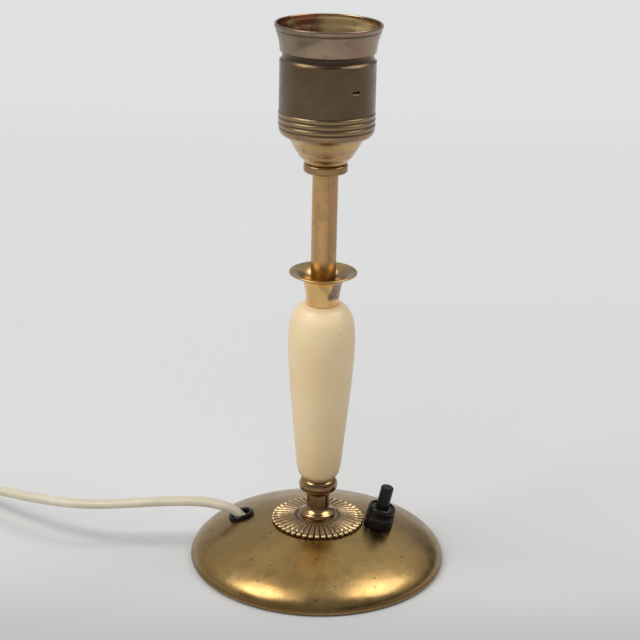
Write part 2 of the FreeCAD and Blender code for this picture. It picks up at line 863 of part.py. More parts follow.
def switch_button():
    """Button with a rounded top and the flange that stops it in the housing."""
    top = switch_nut_height + button_proud
    rounded = button_edge_round
    diagonal = rounded * (1 - math.sqrt(0.5))
    return turned(
        (0, flange_bottom), (button_flange_radius, flange_bottom), (button_flange_radius, flange_top),
        (button_radius, flange_top), (button_radius, top - rounded),
        ("arc", (button_radius - diagonal, top - diagonal), (button_radius - rounded, top)),
        (0, top))


def switch_spring():
    """Return spring between the closing disc and the button's flange."""
    radius = button_flange_radius - 3 * spring_wire_radius
    low = cavity_bottom + spring_wire_radius + spring_gap
    high = flange_bottom - spring_wire_radius - spring_gap
    points = []
    tangents = []
    for i in range(2 * spring_turns + 1):
        turn = math.pi * i
        rise = (high - low) / (2 * spring_turns)
        points.append(Vector(radius * math.cos(turn), radius * math.sin(turn), low + rise * i))
        tangents.append(Vector(-math.sin(turn), math.cos(turn), rise / (math.pi * radius)).normalize())
    return round_tube(Part.Wire(biarc_path(points, tangents)), spring_wire_radius, "switch_spring")


def switch_lugs():
    """Two solder lugs on the sides of the housing."""
    lugs = []
    for side in (1, -1):
        near = side * (switch_housing_radius + lug_gap)
        far = side * lug_reach
        lugs.append(block((-lug_width / 2, min(near, far), lug_z - lug_height / 2),
                          (lug_width / 2, max(near, far), lug_z + lug_height / 2)))
    return lugs


def grommet():
    """Moulded ring in the dome with a round lip outside and a flat one inside."""
    neck = grommet_hole_radius + grommet_wall
    rim = neck + grommet_lip
    low = -base_sheet - grommet_dome_gap
    return turned(
        (grommet_hole_radius, low - grommet_bottom_height),
        (rim - grommet_lip / 2, low - grommet_bottom_height),
        (rim - grommet_lip / 2, low), (neck, low), (neck, 0), (rim, 0), (rim, grommet_top_height / 4),
        ("arc", ((rim + grommet_hole_radius) / 2, grommet_top_height),
         (grommet_hole_radius, grommet_top_height / 4)))


# Flex inside the foot

def flex_tube(route, radius, name):
    """Tube along a hand-made route, with its radii printed."""
    path, radii = bent_path(route)
    print(name, "radii", " ".join("%.1f" % radius for radius in radii))
    return round_tube(path, radius, name)


switch_place = seat_on_dome(rosette_radius + switch_skirt_radius, switch_azimuth)
grommet_place = seat_on_dome(base_radius - grommet_edge_distance, grommet_azimuth)
inner_end = Vector(*inner_route[-1])
clip_spot = Vector(*inner_route[2])
clip_along = (inner_end - clip_spot).normalize()
clip_turn = math.degrees(math.atan2(clip_along.y, clip_along.x))
clip_inner = flex_radius + clip_fit
clip_reach = clip_inner + clip_sheet + clip_ear / 2
clip_middle = clip_spot + clip_along * clip_start
clip_across = Vector(-clip_along.y, clip_along.x, 0).normalize()
clip_screw_spots = []
for clip_side in (1, -1):
    clip_screw_spots.append(
        Vector(clip_middle.x, clip_middle.y, 0) + clip_across * (clip_side * clip_reach))


def cord_clip():
    """Sheet saddle over the flex, with two ears on the ballast."""
    axis_z = clip_middle.z
    outer = clip_inner + clip_sheet
    saddle = Part.makeCylinder(outer, clip_width, Vector(-clip_width / 2, 0, axis_z), Vector(1, 0, 0))
    saddle = saddle.fuse(block((-clip_width / 2, -outer, ballast_top), (clip_width / 2, outer, axis_z)))
    ears = block((-clip_width / 2, -clip_reach - clip_ear / 2, ballast_top),
                 (clip_width / 2, clip_reach + clip_ear / 2, ballast_top + clip_sheet))
    hollow = Part.makeCylinder(
        clip_inner, clip_width + 2 * overrun, Vector(-clip_width / 2 - overrun, 0, axis_z), Vector(1, 0, 0))
    room = block((-clip_width / 2 - overrun, -clip_inner, ballast_top - overrun),
                 (clip_width / 2 + overrun, clip_inner, axis_z))
    piece = saddle.fuse(ears).cut([hollow, room])
    holes = []
    for side in (1, -1):
        holes.append(Part.makeCylinder(
            clip_screw_radius + screw_fit, clip_sheet + 2 * overrun,
            Vector(0, side * clip_reach, ballast_top - overrun)))
    piece = piece.cut(holes)
    piece.rotate(Vector(0, 0, 0), UP, clip_turn)
    piece.translate(Vector(clip_middle.x, clip_middle.y, 0))
    return piece


def clip_screws():
    """Two slotted screws that hold the saddle to the ballast."""
    screws = []
    for spot in clip_screw_spots:
        low = ballast_top + clip_sheet
        shank = disc(clip_screw_radius - screw_fit, ballast_top - clip_screw_length + screw_fit, low)
        head = turned(
            (0, low), (clip_screw_head_radius, low),
            (clip_screw_head_radius, low + clip_screw_head_height / 2),
            (clip_screw_head_radius / 2, low + clip_screw_head_height), (0, low + clip_screw_head_height))
        screw = shank.fuse(head)
        screw.translate(spot)
        screws.append(screw)
    return screws


def lead_routes():
    """Points of the single wires: flex to lampholder, switch to lampholder and flex to switch."""
    inside = terminal_offset - terminal_width / 2
    low = inner_end.z
    side = Vector(-clip_along.y, clip_along.x, 0).normalize() * lead_offset
    straight = clip_along * lead_start
    first = inner_end + side
    second = inner_end - side
    lug_side = lug_reach - lug_depth / 2
    far = -lug_width / 2
    near_lug = [switch_place.multVec(Vector(far - run, lug_side, lug_z)) for run in (lead_start, 0)]
    far_lug = [switch_place.multVec(Vector(far - run, -lug_side, lug_z)) for run in (lead_start, 0)]
    neutral = [
        Vector(-inside, 0, terminal_screw_z), Vector(-lead_offset, 0, terminal_screw_z),
        Vector(-lead_offset, 0, low), Vector(-lead_offset - lead_bend, side.y, low),
        first + straight, first]
    switched = [
        Vector(inside, 0, terminal_screw_z), Vector(lead_offset, 0, terminal_screw_z),
        Vector(lead_offset, 0, low), Vector(lead_offset + lead_bend, lead_bend, low)] + near_lug
    live = [second, second + straight, Vector(0, -2 * lead_bend, low)] + far_lug
    return {"neutral_lead": neutral, "switched_lead": switched, "live_lead": live}


# Coil, tie and plug outside the foot

coil_pitch = flex_width + coil_gap
coil_rise = 2 * flex_radius + coil_gap
coil_start = Vector(*flex_route[-1])
coil_entry = (coil_start - Vector(*flex_route[-2])).normalize()
coil_inward = Vector(-coil_entry.y, coil_entry.x, 0)
coil_first = coil_start + coil_entry * (2 * flex_radius)
coil_centre = coil_first + coil_inward * coil_outer_radius
coil_turns = coil_inward_turns + coil_climb_turns + coil_outward_turns
coil_inner_radius = coil_outer_radius - coil_pitch * coil_inward_turns


def coil_place(turns):
    """Place on the coil's centre line after a number of turns."""
    climbed = min(max((turns - coil_inward_turns) / coil_climb_turns, 0), 1)
    inward = min(turns, coil_inward_turns)
    outward = max(turns - coil_inward_turns - coil_climb_turns, 0)
    radius = coil_outer_radius - coil_pitch * (inward - outward)
    height = coil_rise * (1 - math.cos(math.pi * climbed)) / 2
    angle = 2 * math.pi * turns
    spoke = coil_inward * (-math.cos(angle)) + coil_entry * math.sin(angle)
    return coil_centre + spoke * radius + Vector(0, 0, height)


def coil_heading(turns):
    """Heading of the coil's centre line."""
    step = 1 / 512
    return (coil_place(turns + step) - coil_place(turns - step)).normalize()


def coil_path():
    """Straight entry, spiral in, climb, spiral out and a straight end."""
    quarters = round(coil_turns * 4)
    points = [coil_place(i / 4) for i in range(quarters + 1)]
    tangents = [coil_heading(i / 4) for i in range(quarters + 1)]
    angle = 2 * math.pi * coil_turns
    tangents[0] = coil_entry
    tangents[-1] = coil_entry * math.cos(angle) + coil_inward * math.sin(angle)
    end = points[-1] + tangents[-1] * (2 * flex_radius)
    edges = [Part.LineSegment(coil_start, points[0]).toShape()]
    edges += biarc_path(points, tangents)
    edges.append(Part.LineSegment(points[-1], end).toShape())
    return Part.Wire(edges), end


def least_gap(path, radius):
    """Least distance between turns of a tube, less its diameter, on points along it."""
    step = radius
    points = path.discretize(int(path.Length / step))
    skip = int(8 * radius / step)
    least = path.Length
    for i, point in enumerate(points):
        for other in points[i + skip:]:
            distance = point.distanceToPoint(other)
            if distance < least:
                least = distance
    return least - 2 * radius


def coil_tie():
    """Strap round the bundle of turns, half a turn from where the flex comes in."""
    inner = coil_inner_radius + coil_pitch / 4 - flex_radius - tie_gap
    outer = coil_outer_radius - coil_pitch / 2 + flex_radius + tie_gap
    low = coil_start.z - flex_radius - tie_gap
    high = low + coil_rise + 2 * (flex_radius + tie_gap)
    strap = block((inner - tie_thickness, -tie_width / 2, low - tie_thickness),
                  (outer + tie_thickness, tie_width / 2, high + tie_thickness))
    strap = rounded_along_y(strap, flex_radius + tie_gap)
    room = block((inner, -tie_width, low), (outer, tie_width, high))
    strap = strap.cut(rounded_along_y(room, flex_radius + tie_gap - tie_thickness))
    strap.rotate(Vector(0, 0, 0), UP, math.degrees(math.atan2(coil_inward.y, coil_inward.x)))
    strap.translate(Vector(coil_centre.x, coil_centre.y, 0))
    return strap


def rounded_along_y(shape, radius):
    """Box with its four edges along Y rounded."""
    edges = [edge for edge in shape.Edges if abs(edge.tangentAt(0).y) > 0.5]
    return shape.makeFillet(radius, edges)


def rounded_section(x, width, height, corner):
    """Rounded rectangle square to X."""
    half_w, half_h = width / 2, height / 2
    corners = [(half_w, half_h, 1, 1), (-half_w, half_h, -1, 1), (-half_w, -half_h, -1, -1),
               (half_w, -half_h, 1, -1)]
    edges = []
    last = None
    first = None
    near = corner * (1 - math.sqrt(0.5))
    for y, z, sy, sz in corners:
        enter = Vector(x, y, z - sz * corner) if sy * sz > 0 else Vector(x, y - sy * corner, z)
        leave = Vector(x, y - sy * corner, z) if sy * sz > 0 else Vector(x, y, z - sz * corner)
        via = Vector(x, y - sy * near, z - sz * near)
        if last is None:
            first = enter
        else:
            edges.append(Part.LineSegment(last, enter).toShape())
        edges.append(Part.Arc(enter, via, leave).toShape())
        last = leave
    edges.append(Part.LineSegment(last, first).toShape())
    return Part.Wire(edges)


def plug_body():
    """Flat plug body, wide at its face, with a ringed strain relief; X runs out along the pins."""
    face = relief_length + plug_depth
    widths = [(relief_length, plug_rear_width, plug_rear_height),
              (relief_length + plug_waist_share * plug_depth, plug_waist_width_share * plug_face_width,
               plug_waist_height_share * plug_face_height),
              (face, plug_face_width, plug_face_height)]
    sections = [rounded_section(x, w, h, plug_corner) for x, w, h in widths]
    front = Part.makeLoft(sections[:2], True, True).fuse(Part.makeLoft(sections[1:], True, True))
    cone = Part.makeCone(relief_radius_out, relief_radius_in, relief_length + overrun,
                         Vector(0, 0, 0), Vector(1, 0, 0))
    rings = []
    for i in range(relief_ring_count):
        x = relief_length * (i + 0.5) / (relief_ring_count + 0.5)
        width = ring_width_share * relief_length / relief_ring_count
        outer = Part.makeCylinder(2 * relief_radius_in, width, Vector(x, 0, 0), Vector(1, 0, 0))
        inner = Part.makeCylinder(relief_radius_out - relief_ring_depth
                                  + (relief_radius_in - relief_radius_out) * x / relief_length,
                                  width, Vector(x, 0, 0), Vector(1, 0, 0))
        rings.append(outer.cut(inner))
    body = front.fuse(cone.cut(rings))
    holes = []
    for side in (1, -1):
        holes.append(Part.makeCylinder(
            pin_radius + screw_fit, pin_root + overrun,
            Vector(face - pin_root, side * pin_spacing / 2, 0), Vector(1, 0, 0)))
    return body.cut(holes)


def plug_pins():
    """Two round pins with sleeved roots, a step and rounded tips."""
    face = relief_length + plug_depth
    tip = face + pin_length
    neck = pin_radius - pin_sleeve_step
    round_in = pin_radius * (1 - math.sqrt(0.5))
    pins = []
    for side in (1, -1):
        pin = turned(
            (0, face - pin_root), (neck, face - pin_root), (neck, face + pin_sleeve_length),
            (pin_radius, face + pin_sleeve_length + pin_sleeve_step), (pin_radius, tip - pin_radius),
            ("arc", (pin_radius - round_in, tip - round_in), (0, tip)))
        pin.rotate(Vector(0, 0, 0), Vector(0, 1, 0), 90)
        pin.translate(Vector(0, side * pin_spacing / 2, 0))
        pins.append(pin)
    return pins


# Build and write every node

plate_radius = base_radius - base_sheet - plate_clearance
save("base_shell", base_shell())
save("base_ballast", base_ballast())
save("bottom_plate", disc(plate_radius, plate_z, plate_z + plate_thickness))
save("felt_pad", disc(lip_radius - felt_clearance, 0, felt_thickness))
save("rosette", rosette())
save("stem_collar", stem_collar())
save("wood_body", wood_body())
save("drip_cup", drip_cup())
save("stem_tube", tube(tube_radius, tube_radius - tube_wall, cup_floor_z, tube_top))
save("holder_ring", holder_ring())

washer_top = crown_point(crown_flat_radius, -base_sheet)[1]
nut_top = washer_top - washer_thickness
rod_low = nut_top - nut_height - rod_end
rod_high = cap_floor + nut_height + rod_end
save("rod_washer", tube(washer_radius, bore_radius, nut_top, washer_top))
save("rod_nut", hex_nut(nut_across_flats, rod_radius + thread_fit, nut_top - nut_height, nut_height))
save("cap_nut", hex_nut(nut_across_flats, rod_radius + thread_fit, cap_floor, nut_height))
save("threaded_rod", tube(rod_radius, rod_bore_radius, rod_low, rod_high))

save("lampholder_cap", lampholder_cap())
save("lampholder_shell", lampholder_shell())
save("lampholder_insert", lampholder_insert())
save("thread_sleeve", tube(sleeve_bore_radius + sleeve_wall, sleeve_bore_radius,
                           sleeve_z, sleeve_z + sleeve_length))
save("centre_contact", centre_contact())
save("side_contact", side_contact())
save_group("terminal_blocks", terminal_blocks())
save_group("terminal_screws", terminal_screws())

save("switch_housing", placed(switch_housing(), switch_place))
save("switch_disc", placed(switch_disc(), switch_place))
save("switch_nut", placed(switch_nut(), switch_place))
save("switch_button", placed(switch_button(), switch_place))
save("switch_spring", placed(switch_spring(), switch_place))
save_group("switch_lugs", [placed(lug, switch_place) for lug in switch_lugs()])

save("grommet", placed(grommet(), grommet_place))
save("inner_cord", flex_tube(inner_route, flex_radius, "inner_cord"))
save("cord_clip", cord_clip())
save_group("clip_screws", clip_screws())
for lead_name, lead_route in lead_routes().items():
    save(lead_name, flex_tube(lead_route, lead_radius, lead_name))

save("cord_free", flex_tube(flex_route, flex_radius, "cord_free"))
coil_wire, coil_end = coil_path()
print("coil gap %.2f" % least_gap(coil_wire, flex_radius))
save("cord_coil", round_tube(coil_wire, flex_radius, "cord_coil"))
save("coil_tie", coil_tie())
save("cord_tail", flex_tube([coil_end] + tail_route, flex_radius, "cord_tail"))
plug_end = Vector(*tail_route[-1])
plug_heading = plug_end - Vector(*tail_route[-2])
plug_turn = math.degrees(math.atan2(plug_heading.y, plug_heading.x))
plug_place = FreeCAD.Placement(plug_end, FreeCAD.Rotation(UP, plug_turn))
save("plug_body", placed(plug_body(), plug_place))
save_group("plug_pins", [placed(pin, plug_place) for pin in plug_pins()])
print("switch axis", switch_place.Base, switch_place.Rotation.multVec(UP))
print("spring fixed end", switch_place.multVec(Vector(0, 0, cavity_bottom)))
print("grommet", grommet_place.Base, grommet_place.Rotation.multVec(UP))
print("plug", plug_end, plug_turn, "coil centre", coil_centre, "coil end", coil_end)
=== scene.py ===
"""Looks of a small table lamp base: aged brass, lacquered wood, a bare lampholder and a flat flex.

Lengths are in metres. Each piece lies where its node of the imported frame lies.
"""
import json
import math

import bmesh
import bpy
from bpy.props import FloatProperty, FloatVectorProperty, IntProperty, PointerProperty
from mathutils import Matrix, Vector
from mathutils.geometry import interpolate_bezier


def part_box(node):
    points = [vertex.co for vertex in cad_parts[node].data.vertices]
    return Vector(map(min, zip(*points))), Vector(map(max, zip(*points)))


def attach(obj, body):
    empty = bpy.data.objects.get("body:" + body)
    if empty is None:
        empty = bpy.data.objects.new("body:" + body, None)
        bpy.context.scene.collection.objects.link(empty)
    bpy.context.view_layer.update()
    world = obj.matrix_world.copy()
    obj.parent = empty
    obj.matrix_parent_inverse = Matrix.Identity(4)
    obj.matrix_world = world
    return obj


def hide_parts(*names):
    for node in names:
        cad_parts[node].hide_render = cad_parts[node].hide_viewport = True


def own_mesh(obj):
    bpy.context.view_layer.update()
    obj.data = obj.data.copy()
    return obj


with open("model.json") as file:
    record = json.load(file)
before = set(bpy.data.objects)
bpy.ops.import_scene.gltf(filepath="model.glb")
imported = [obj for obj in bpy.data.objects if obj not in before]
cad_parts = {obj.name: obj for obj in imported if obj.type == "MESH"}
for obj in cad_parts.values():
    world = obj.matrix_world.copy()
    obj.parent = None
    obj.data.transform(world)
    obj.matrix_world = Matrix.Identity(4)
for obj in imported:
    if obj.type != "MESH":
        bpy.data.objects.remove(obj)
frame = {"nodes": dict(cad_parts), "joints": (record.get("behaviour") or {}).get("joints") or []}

bl_info = {
    "name": "Brass Table Lamp Base",
    "version": (1, 0, 0),
    "blender": (4, 5, 0),
    "location": "3D View > Sidebar > Lamp",
    "description": "Builds a brass and lacquered wood table lamp base round its packed frame",
    "category": "Object",
}

MM = 0.001
TURN_STEPS = 160
SMALL_STEPS = 96
ARC_STEPS = 14
CURVE_STEPS = 6
CORNER_STEPS = 4
SHARP_TURN = math.radians(24)
CREASE = math.radians(42)
TINY = 1e-7
UP = Vector((0, 0, 1))


# Sizes from the frame

def foot_of(node):
    """Lowest height of a node."""
    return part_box(node)[0].z


def top_of(node):
    """Highest height of a node."""
    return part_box(node)[1].z


def radius_of(node):
    """Largest radius of a node that is turned about the stem's axis."""
    low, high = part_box(node)
    return (high.x - low.x) / 2


PRESS = frame["joints"][0]
SWITCH_AXIS = -Vector(PRESS["axis"]).normalized()
SWITCH_MIDDLE = sum(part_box("switch_disc"), Vector()) / 2
GROMMET_MIDDLE = Vector((-0.0351026, 0.0084274, 0.014571))
GROMMET_AXIS = Vector((-0.25846, 0.06205, 0.96403)).normalized()


def reach_along(node, place, axis):
    """Lowest and highest distance of a node along an axis."""
    steps = [(vertex.co - place).dot(axis) for vertex in frame["nodes"][node].data.vertices]
    return min(steps), max(steps)


def facing(place, axis):
    """Matrix that stands a piece on a place with its Z along an axis."""
    return Matrix.Translation(place) @ UP.rotation_difference(axis).to_matrix().to_4x4()


SWITCH_FOOT = SWITCH_MIDDLE + SWITCH_AXIS * reach_along("switch_nut", SWITCH_MIDDLE, SWITCH_AXIS)[0]

# Route of the flex: out of the grommet, over the rim and slowly down to the table
flex_route = [
    (-0.0350, 0.0084, 0.0138),
    (-0.0375, 0.00864, 0.0169),
    (-0.0430, 0.0080, 0.0195),
    (-0.0508, 0.0088, 0.0209),
    (-0.0610, 0.0094, 0.0208),
    (-0.0730, 0.0090, 0.0204),
    (-0.0865, 0.0078, 0.0198),
    (-0.1000, 0.0076, 0.0189),
    (-0.1135, 0.0106, 0.0176),
    (-0.1275, 0.0175, 0.0158),
    (-0.1415, 0.0273, 0.0134),
    (-0.1555, 0.0393, 0.0100),
    (-0.1687, 0.0503, 0.0056),
    (-0.1820, 0.0574, 0.0023),
    (-0.1955, 0.0640, 0.0019),
]

# Route of the flex after the coil: down to the table, round and up into the plug
tail_route = [
    (-0.26485, 0.03012, 0.0054),
    (-0.2706, 0.0146, 0.0030),
    (-0.2716, -0.0019, 0.0019),
    (-0.2664, -0.0176, 0.0030),
    (-0.2550, -0.0286, 0.0060),
    (-0.2400, -0.0346, 0.00685),
]

# Outlines, as shares of a node's largest radius and of its height
DOME_SHARES = [(0.174, 1.0), (0.296, 0.963), (0.417, 0.909), (0.557, 0.818), (0.696, 0.699),
               (0.783, 0.604), (0.870, 0.482), (0.922, 0.384), (0.957, 0.297), (0.981, 0.21),
               (0.995, 0.118), (1.0, 0.043)]
WOOD_SHARES = [(0.555, 0.006), (0.625, 0.024), (0.660, 0.050), (0.690, 0.085), (0.752, 0.205),
               (0.822, 0.335), (0.885, 0.45), (0.945, 0.57), (0.985, 0.68), (1.0, 0.77),
               (0.992, 0.835), (0.965, 0.89), (0.915, 0.928), (0.84, 0.955), (0.73, 0.981),
               (0.60, 0.996)]


# Outlines and turned meshes

def arc_points(start, via, end):
    """Points after start on the circle through three points."""
    a, b, c = (Vector(point) for point in (start, via, end))
    twice = 2 * (b - a).cross(c - a)
    ab, ac = (b - a).length_squared, (c - a).length_squared
    middle = a + Vector(((c - a).y * ab - (b - a).y * ac, (b - a).x * ac - (c - a).x * ab)) / twice
    first, bend, last = (math.atan2((p - middle).y, (p - middle).x) for p in (a, b, c))
    full = 2 * math.pi
    sweep = (last - first) % full
    if (bend - first) % full > sweep:
        sweep -= full
    radius = (a - middle).length
    turns = [first + sweep * (i + 1) / ARC_STEPS for i in range(ARC_STEPS)]
    return [middle + radius * Vector((math.cos(t), math.sin(t))) for t in turns]


def curve_points(points):
    """Smooth line through points, after the first."""
    result = []
    last = len(points) - 1
    for i in range(last):
        start, end = points[i], points[i + 1]
        span = (end - start).length / 3
        leave = (end - points[max(i - 1, 0)]).normalized() * span
        arrive = (points[min(i + 2, last)] - start).normalized() * span
        result += interpolate_bezier(start, start + leave, end - arrive, end, CURVE_STEPS + 1)[1:]
    return [point.to_2d() for point in result]


def traced(steps):
    """Dense (radius, height) points through steps: a point, an arc or a curve."""
    line = [Vector(steps[0])]
    for step in steps[1:]:
        if step[0] == "arc":
            line += arc_points(line[-1], step[1], step[2])
        elif step[0] == "curve":
            line += curve_points([line[-1]] + [Vector(point) for point in step[1]])
        else:
            line.append(Vector(step))
    return line


def softened(line, corner, closed=True):
    """Line with its sharp corners rounded, and support points beside them."""
    result = []
    for i, point in enumerate(line):
        if not closed and i in (0, len(line) - 1):
            result.append(point)
            continue
        into, out = point - line[i - 1], line[(i + 1) % len(line)] - point
        if into.length < TINY or out.length < TINY or into.angle(out) < SHARP_TURN:
            result.append(point)
            continue
        near, far = min(corner, into.length * 0.4), min(corner, out.length * 0.4)
        start, end = point - into.normalized() * near, point + out.normalized() * far
        if into.length > near * 6:
            result.append(point - into.normalized() * near * 2.5)
        for k in range(CORNER_STEPS + 1):
            share = k / CORNER_STEPS
            result.append(start.lerp(point, share).lerp(point.lerp(end, share), share))
        if out.length > far * 6:
            result.append(point + out.normalized() * far * 2.5)
    return result


def shifted(line, distance):
    """Line moved sideways, to the left of its heading for a positive distance."""
    result = []
    for i, point in enumerate(line):
        heading = (line[min(i + 1, len(line) - 1)] - line[max(i - 1, 0)]).normalized()
        result.append(point + Vector((-heading.y, heading.x)) * distance)
    return result


def from_shares(steps, node):
    """Steps in metres from shares of a node's largest radius and its height."""
    low, high, radius = foot_of(node), top_of(node), radius_of(node)

    def place(share):
        return (share[0] * radius, low + share[1] * (high - low))

    result = []
    for step in steps:
        if step[0] == "arc":
            result.append(("arc", place(step[1]), place(step[2])))
        elif step[0] == "curve":
            result.append(("curve", [place(point) for point in step[1]]))
        else:
            result.append(place(step))
    return result


def object_of(name, build):
    """Smooth object from a bmesh, with its creases kept sharp."""
    mesh = bpy.data.meshes.new(name)
    build.to_mesh(mesh)
    build.free()
    mesh.shade_smooth()
    mesh.set_sharp_from_angle(angle=CREASE)
    made = bpy.data.objects.new(name, mesh)
    bpy.context.scene.collection.objects.link(made)
    return made


def lathe(name, line, closed=True, steps=TURN_STEPS):
    """Object of a line turned about Z. An open line starts and ends on the axis."""
    build = bmesh.new()
    rings = []
    for radius, height in line:
        count = 1 if radius < TINY else steps
        turns = [2 * math.pi * k / steps for k in range(count)]
        rings.append([build.verts.new((radius * math.cos(t), radius * math.sin(t), height)) for t in turns])
    for low, high in zip(rings, rings[1:] + (rings[:1] if closed else [])):
        for k in range(steps):
            corners = [low[k % len(low)], low[(k + 1) % len(low)], high[(k + 1) % len(high)],
                       high[k % len(high)]]
            corners = list(dict.fromkeys(corners))
            if len(corners) > 2:
                build.faces.new(corners)
    bmesh.ops.recalc_face_normals(build, faces=build.faces)
    return object_of(name, build)


def ring_faces(build, first, second):
    """Faces between two closed rings with the same number of vertices."""
    count = len(first)
    for k in range(count):
        after = (k + 1) % count
        build.faces.new((first[k], first[after], second[after], second[k]))


def converted(made):
    """The object with its modifiers turned into its mesh."""
    graph = bpy.context.evaluated_depsgraph_get()
    mesh = bpy.data.meshes.new_from_object(made.evaluated_get(graph))
    old = made.data
    made.modifiers.clear()
    made.data = mesh
    bpy.data.meshes.remove(old)
    return made


def carved(made, *cutters):
    """The object with other objects cut out of it, and these removed."""
    for cutter in cutters:
        cut = made.modifiers.new("Cut", "BOOLEAN")
        cut.operation = "DIFFERENCE"
        cut.solver = "EXACT"
        cut.object = cutter
    converted(made)
    for cutter in cutters:
        mesh = cutter.data
        bpy.data.objects.remove(cutter)
        bpy.data.meshes.remove(mesh)
    made.data.set_sharp_from_angle(angle=CREASE)
    return made


def joined(name, *parts):
    """One object from several, with their materials kept."""
    build = bmesh.new()
    materials = []
    for part in parts:
        offset = len(materials)
        materials += list(part.data.materials)
        first = len(build.faces)
        build.from_mesh(part.data)
        build.faces.ensure_lookup_table()
        for face in build.faces[first:]:
            face.material_index += offset
    made = object_of(name, build)
    for material in materials:
        made.data.materials.append(material)
    for part in parts:
        mesh = part.data
        bpy.data.objects.remove(part)
        bpy.data.meshes.remove(mesh)
    return made


def fitted(made, body, material, slot, *nodes):
    """Dresses a piece, hangs it on its body and lets it stand for its nodes."""
    if material is not None:
        made.data.materials.clear()
        made.data.materials.append(material)
    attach(made, body)
    if nodes:
        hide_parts(*nodes)
    return made


def dressed(material, *nodes):
    """Gives nodes of the frame their finish."""
    for node in nodes:
        slots = frame["nodes"][node].data.materials
        slots.clear()
        slots.append(material)


# Node trees

class Graph:
    """Adds nodes to a tree. An input that is given an output is linked, and a value is set."""

    def __init__(self, tree):
        self.tree = tree

    def put(self, socket, value):
        if isinstance(value, bpy.types.NodeSocket):
            self.tree.links.new(value, socket)
        elif socket.type == "RGBA" and len(value) == 3:
            socket.default_value = (*value, 1.0)
        else:
            socket.default_value = value

    def add(self, kind, inputs=None, output=0, **settings):
        node = self.tree.nodes.new(kind)
        for key, value in settings.items():
            setattr(node, key, value)
        for key, value in (inputs or {}).items():
            self.put(node.inputs[key], value)
        return node.outputs[output] if len(node.outputs) else node

    def math(self, operation, *values):
        return self.add("ShaderNodeMath", dict(enumerate(values)), operation=operation)

    def times(self, first, second):
        return self.math("MULTIPLY", first, second)

    def plus(self, first, second):
        return self.math("ADD", first, second)

    def minus(self, first, second):
        return self.math("SUBTRACT", first, second)

    def vector(self, x, y, z):
        return self.add("ShaderNodeCombineXYZ", {0: x, 1: y, 2: z})

    def parts(self, vector):
        node = self.tree.nodes.new("ShaderNodeSeparateXYZ")
        self.put(node.inputs[0], vector)
        return node.outputs[0], node.outputs[1], node.outputs[2]

    def between(self, value, low, high, start=0.0, end=1.0, kind="SMOOTHSTEP"):
        return self.add("ShaderNodeMapRange", {0: value, 1: low, 2: high, 3: start, 4: end},
                        interpolation_type=kind)

    def band(self, value, middle, low, high):
        """Mask of the values near a middle: zero from low away, one within high."""
        return self.between(self.math("ABSOLUTE", self.minus(value, middle)), low, high)

    def mix(self, share, first, second, kind="MIX"):
        return self.add("ShaderNodeMix", {0: share, 6: first, 7: second}, output=2, data_type="RGBA",
                        blend_type=kind)

    def noise(self, where, scale, detail=3.0, rough=0.55, twist=0.0):
        return self.add("ShaderNodeTexNoise", {"Vector": where, "Scale": scale, "Detail": detail,
                                               "Roughness": rough, "Distortion": twist})

    def cells(self, where, scale, output=0):
        return self.add("ShaderNodeTexVoronoi", {"Vector": where, "Scale": scale}, output=output)

    def length(self, x, y):
        return self.math("SQRT", self.plus(self.times(x, x), self.times(y, y)))


class Finish(Graph):
    """A procedural material in the making, on Object coordinates."""

    def __init__(self, name, **sockets):
        self.material = bpy.data.materials.new(name)
        self.material.use_nodes = True
        super().__init__(self.material.node_tree)
        self.shader = self.tree.nodes["Principled BSDF"]
        for key, value in sockets.items():
            self.put(self.shader.inputs[key.replace("_", " ").title().replace("Ior", "IOR")], value)
        self.place = self.add("ShaderNodeTexCoord", output=3)

    def stretched(self, scale, turn=(0, 0, 0)):
        return self.add("ShaderNodeMapping", {"Vector": self.place, "Scale": scale, "Rotation": turn})

    def round_axis(self):
        """Radius and height, and a vector whose noise runs in marks round the axis."""
        x, y, z = self.parts(self.place)
        radius = self.length(x, y)
        return radius, z, self.vector(radius, self.times(self.math("ARCTAN2", y, x), MM), z)

    def specks(self, scale, size, kept):
        """Mask of scattered spots: cells per metre, spot size and share of cells that hold one."""
        wander = self.add("ShaderNodeTexNoise", {"Vector": self.place, "Scale": scale * 2}, output=1)
        shift = self.add("ShaderNodeVectorMath", {0: wander, "Scale": 0.16 / scale}, operation="SCALE")
        where = self.add("ShaderNodeVectorMath", {0: self.place, 1: shift}, operation="ADD")
        spot = self.between(self.cells(where, scale), size, size * 0.6)
        chosen = self.parts(self.cells(where, scale, output=1))[0]
        return self.times(spot, self.math("LESS_THAN", chosen, kept))

    def colour(self, value):
        """Sets the finish's tone."""
        self.tone = value
        self.put(self.shader.inputs["Base Color"], value)

    def stain(self, mask, share, stain):
        """Mixes a share of a stain into the tone where its mask is one."""
        self.colour(self.mix(self.times(mask, share), self.tone, stain))

    def gloss(self, value):
        self.put(self.shader.inputs["Roughness"], value)

    def bump(self, height, depth, strength=1.0):
        """Adds a height in metres times depth to the surface."""
        node = self.tree.nodes.new("ShaderNodeBump")
        self.put(node.inputs["Strength"], strength)
        self.put(node.inputs["Distance"], depth)
        self.put(node.inputs["Height"], height)
        normal = self.shader.inputs["Normal"]
        if normal.is_linked:
            self.put(node.inputs["Normal"], normal.links[0].from_socket)
        self.put(normal, node.outputs[0])


# Finishes

def scaled(tone, share):
    """The tone with its levels multiplied by a share, each at most one."""
    return tuple(min(1.0, share * value) for value in tone)


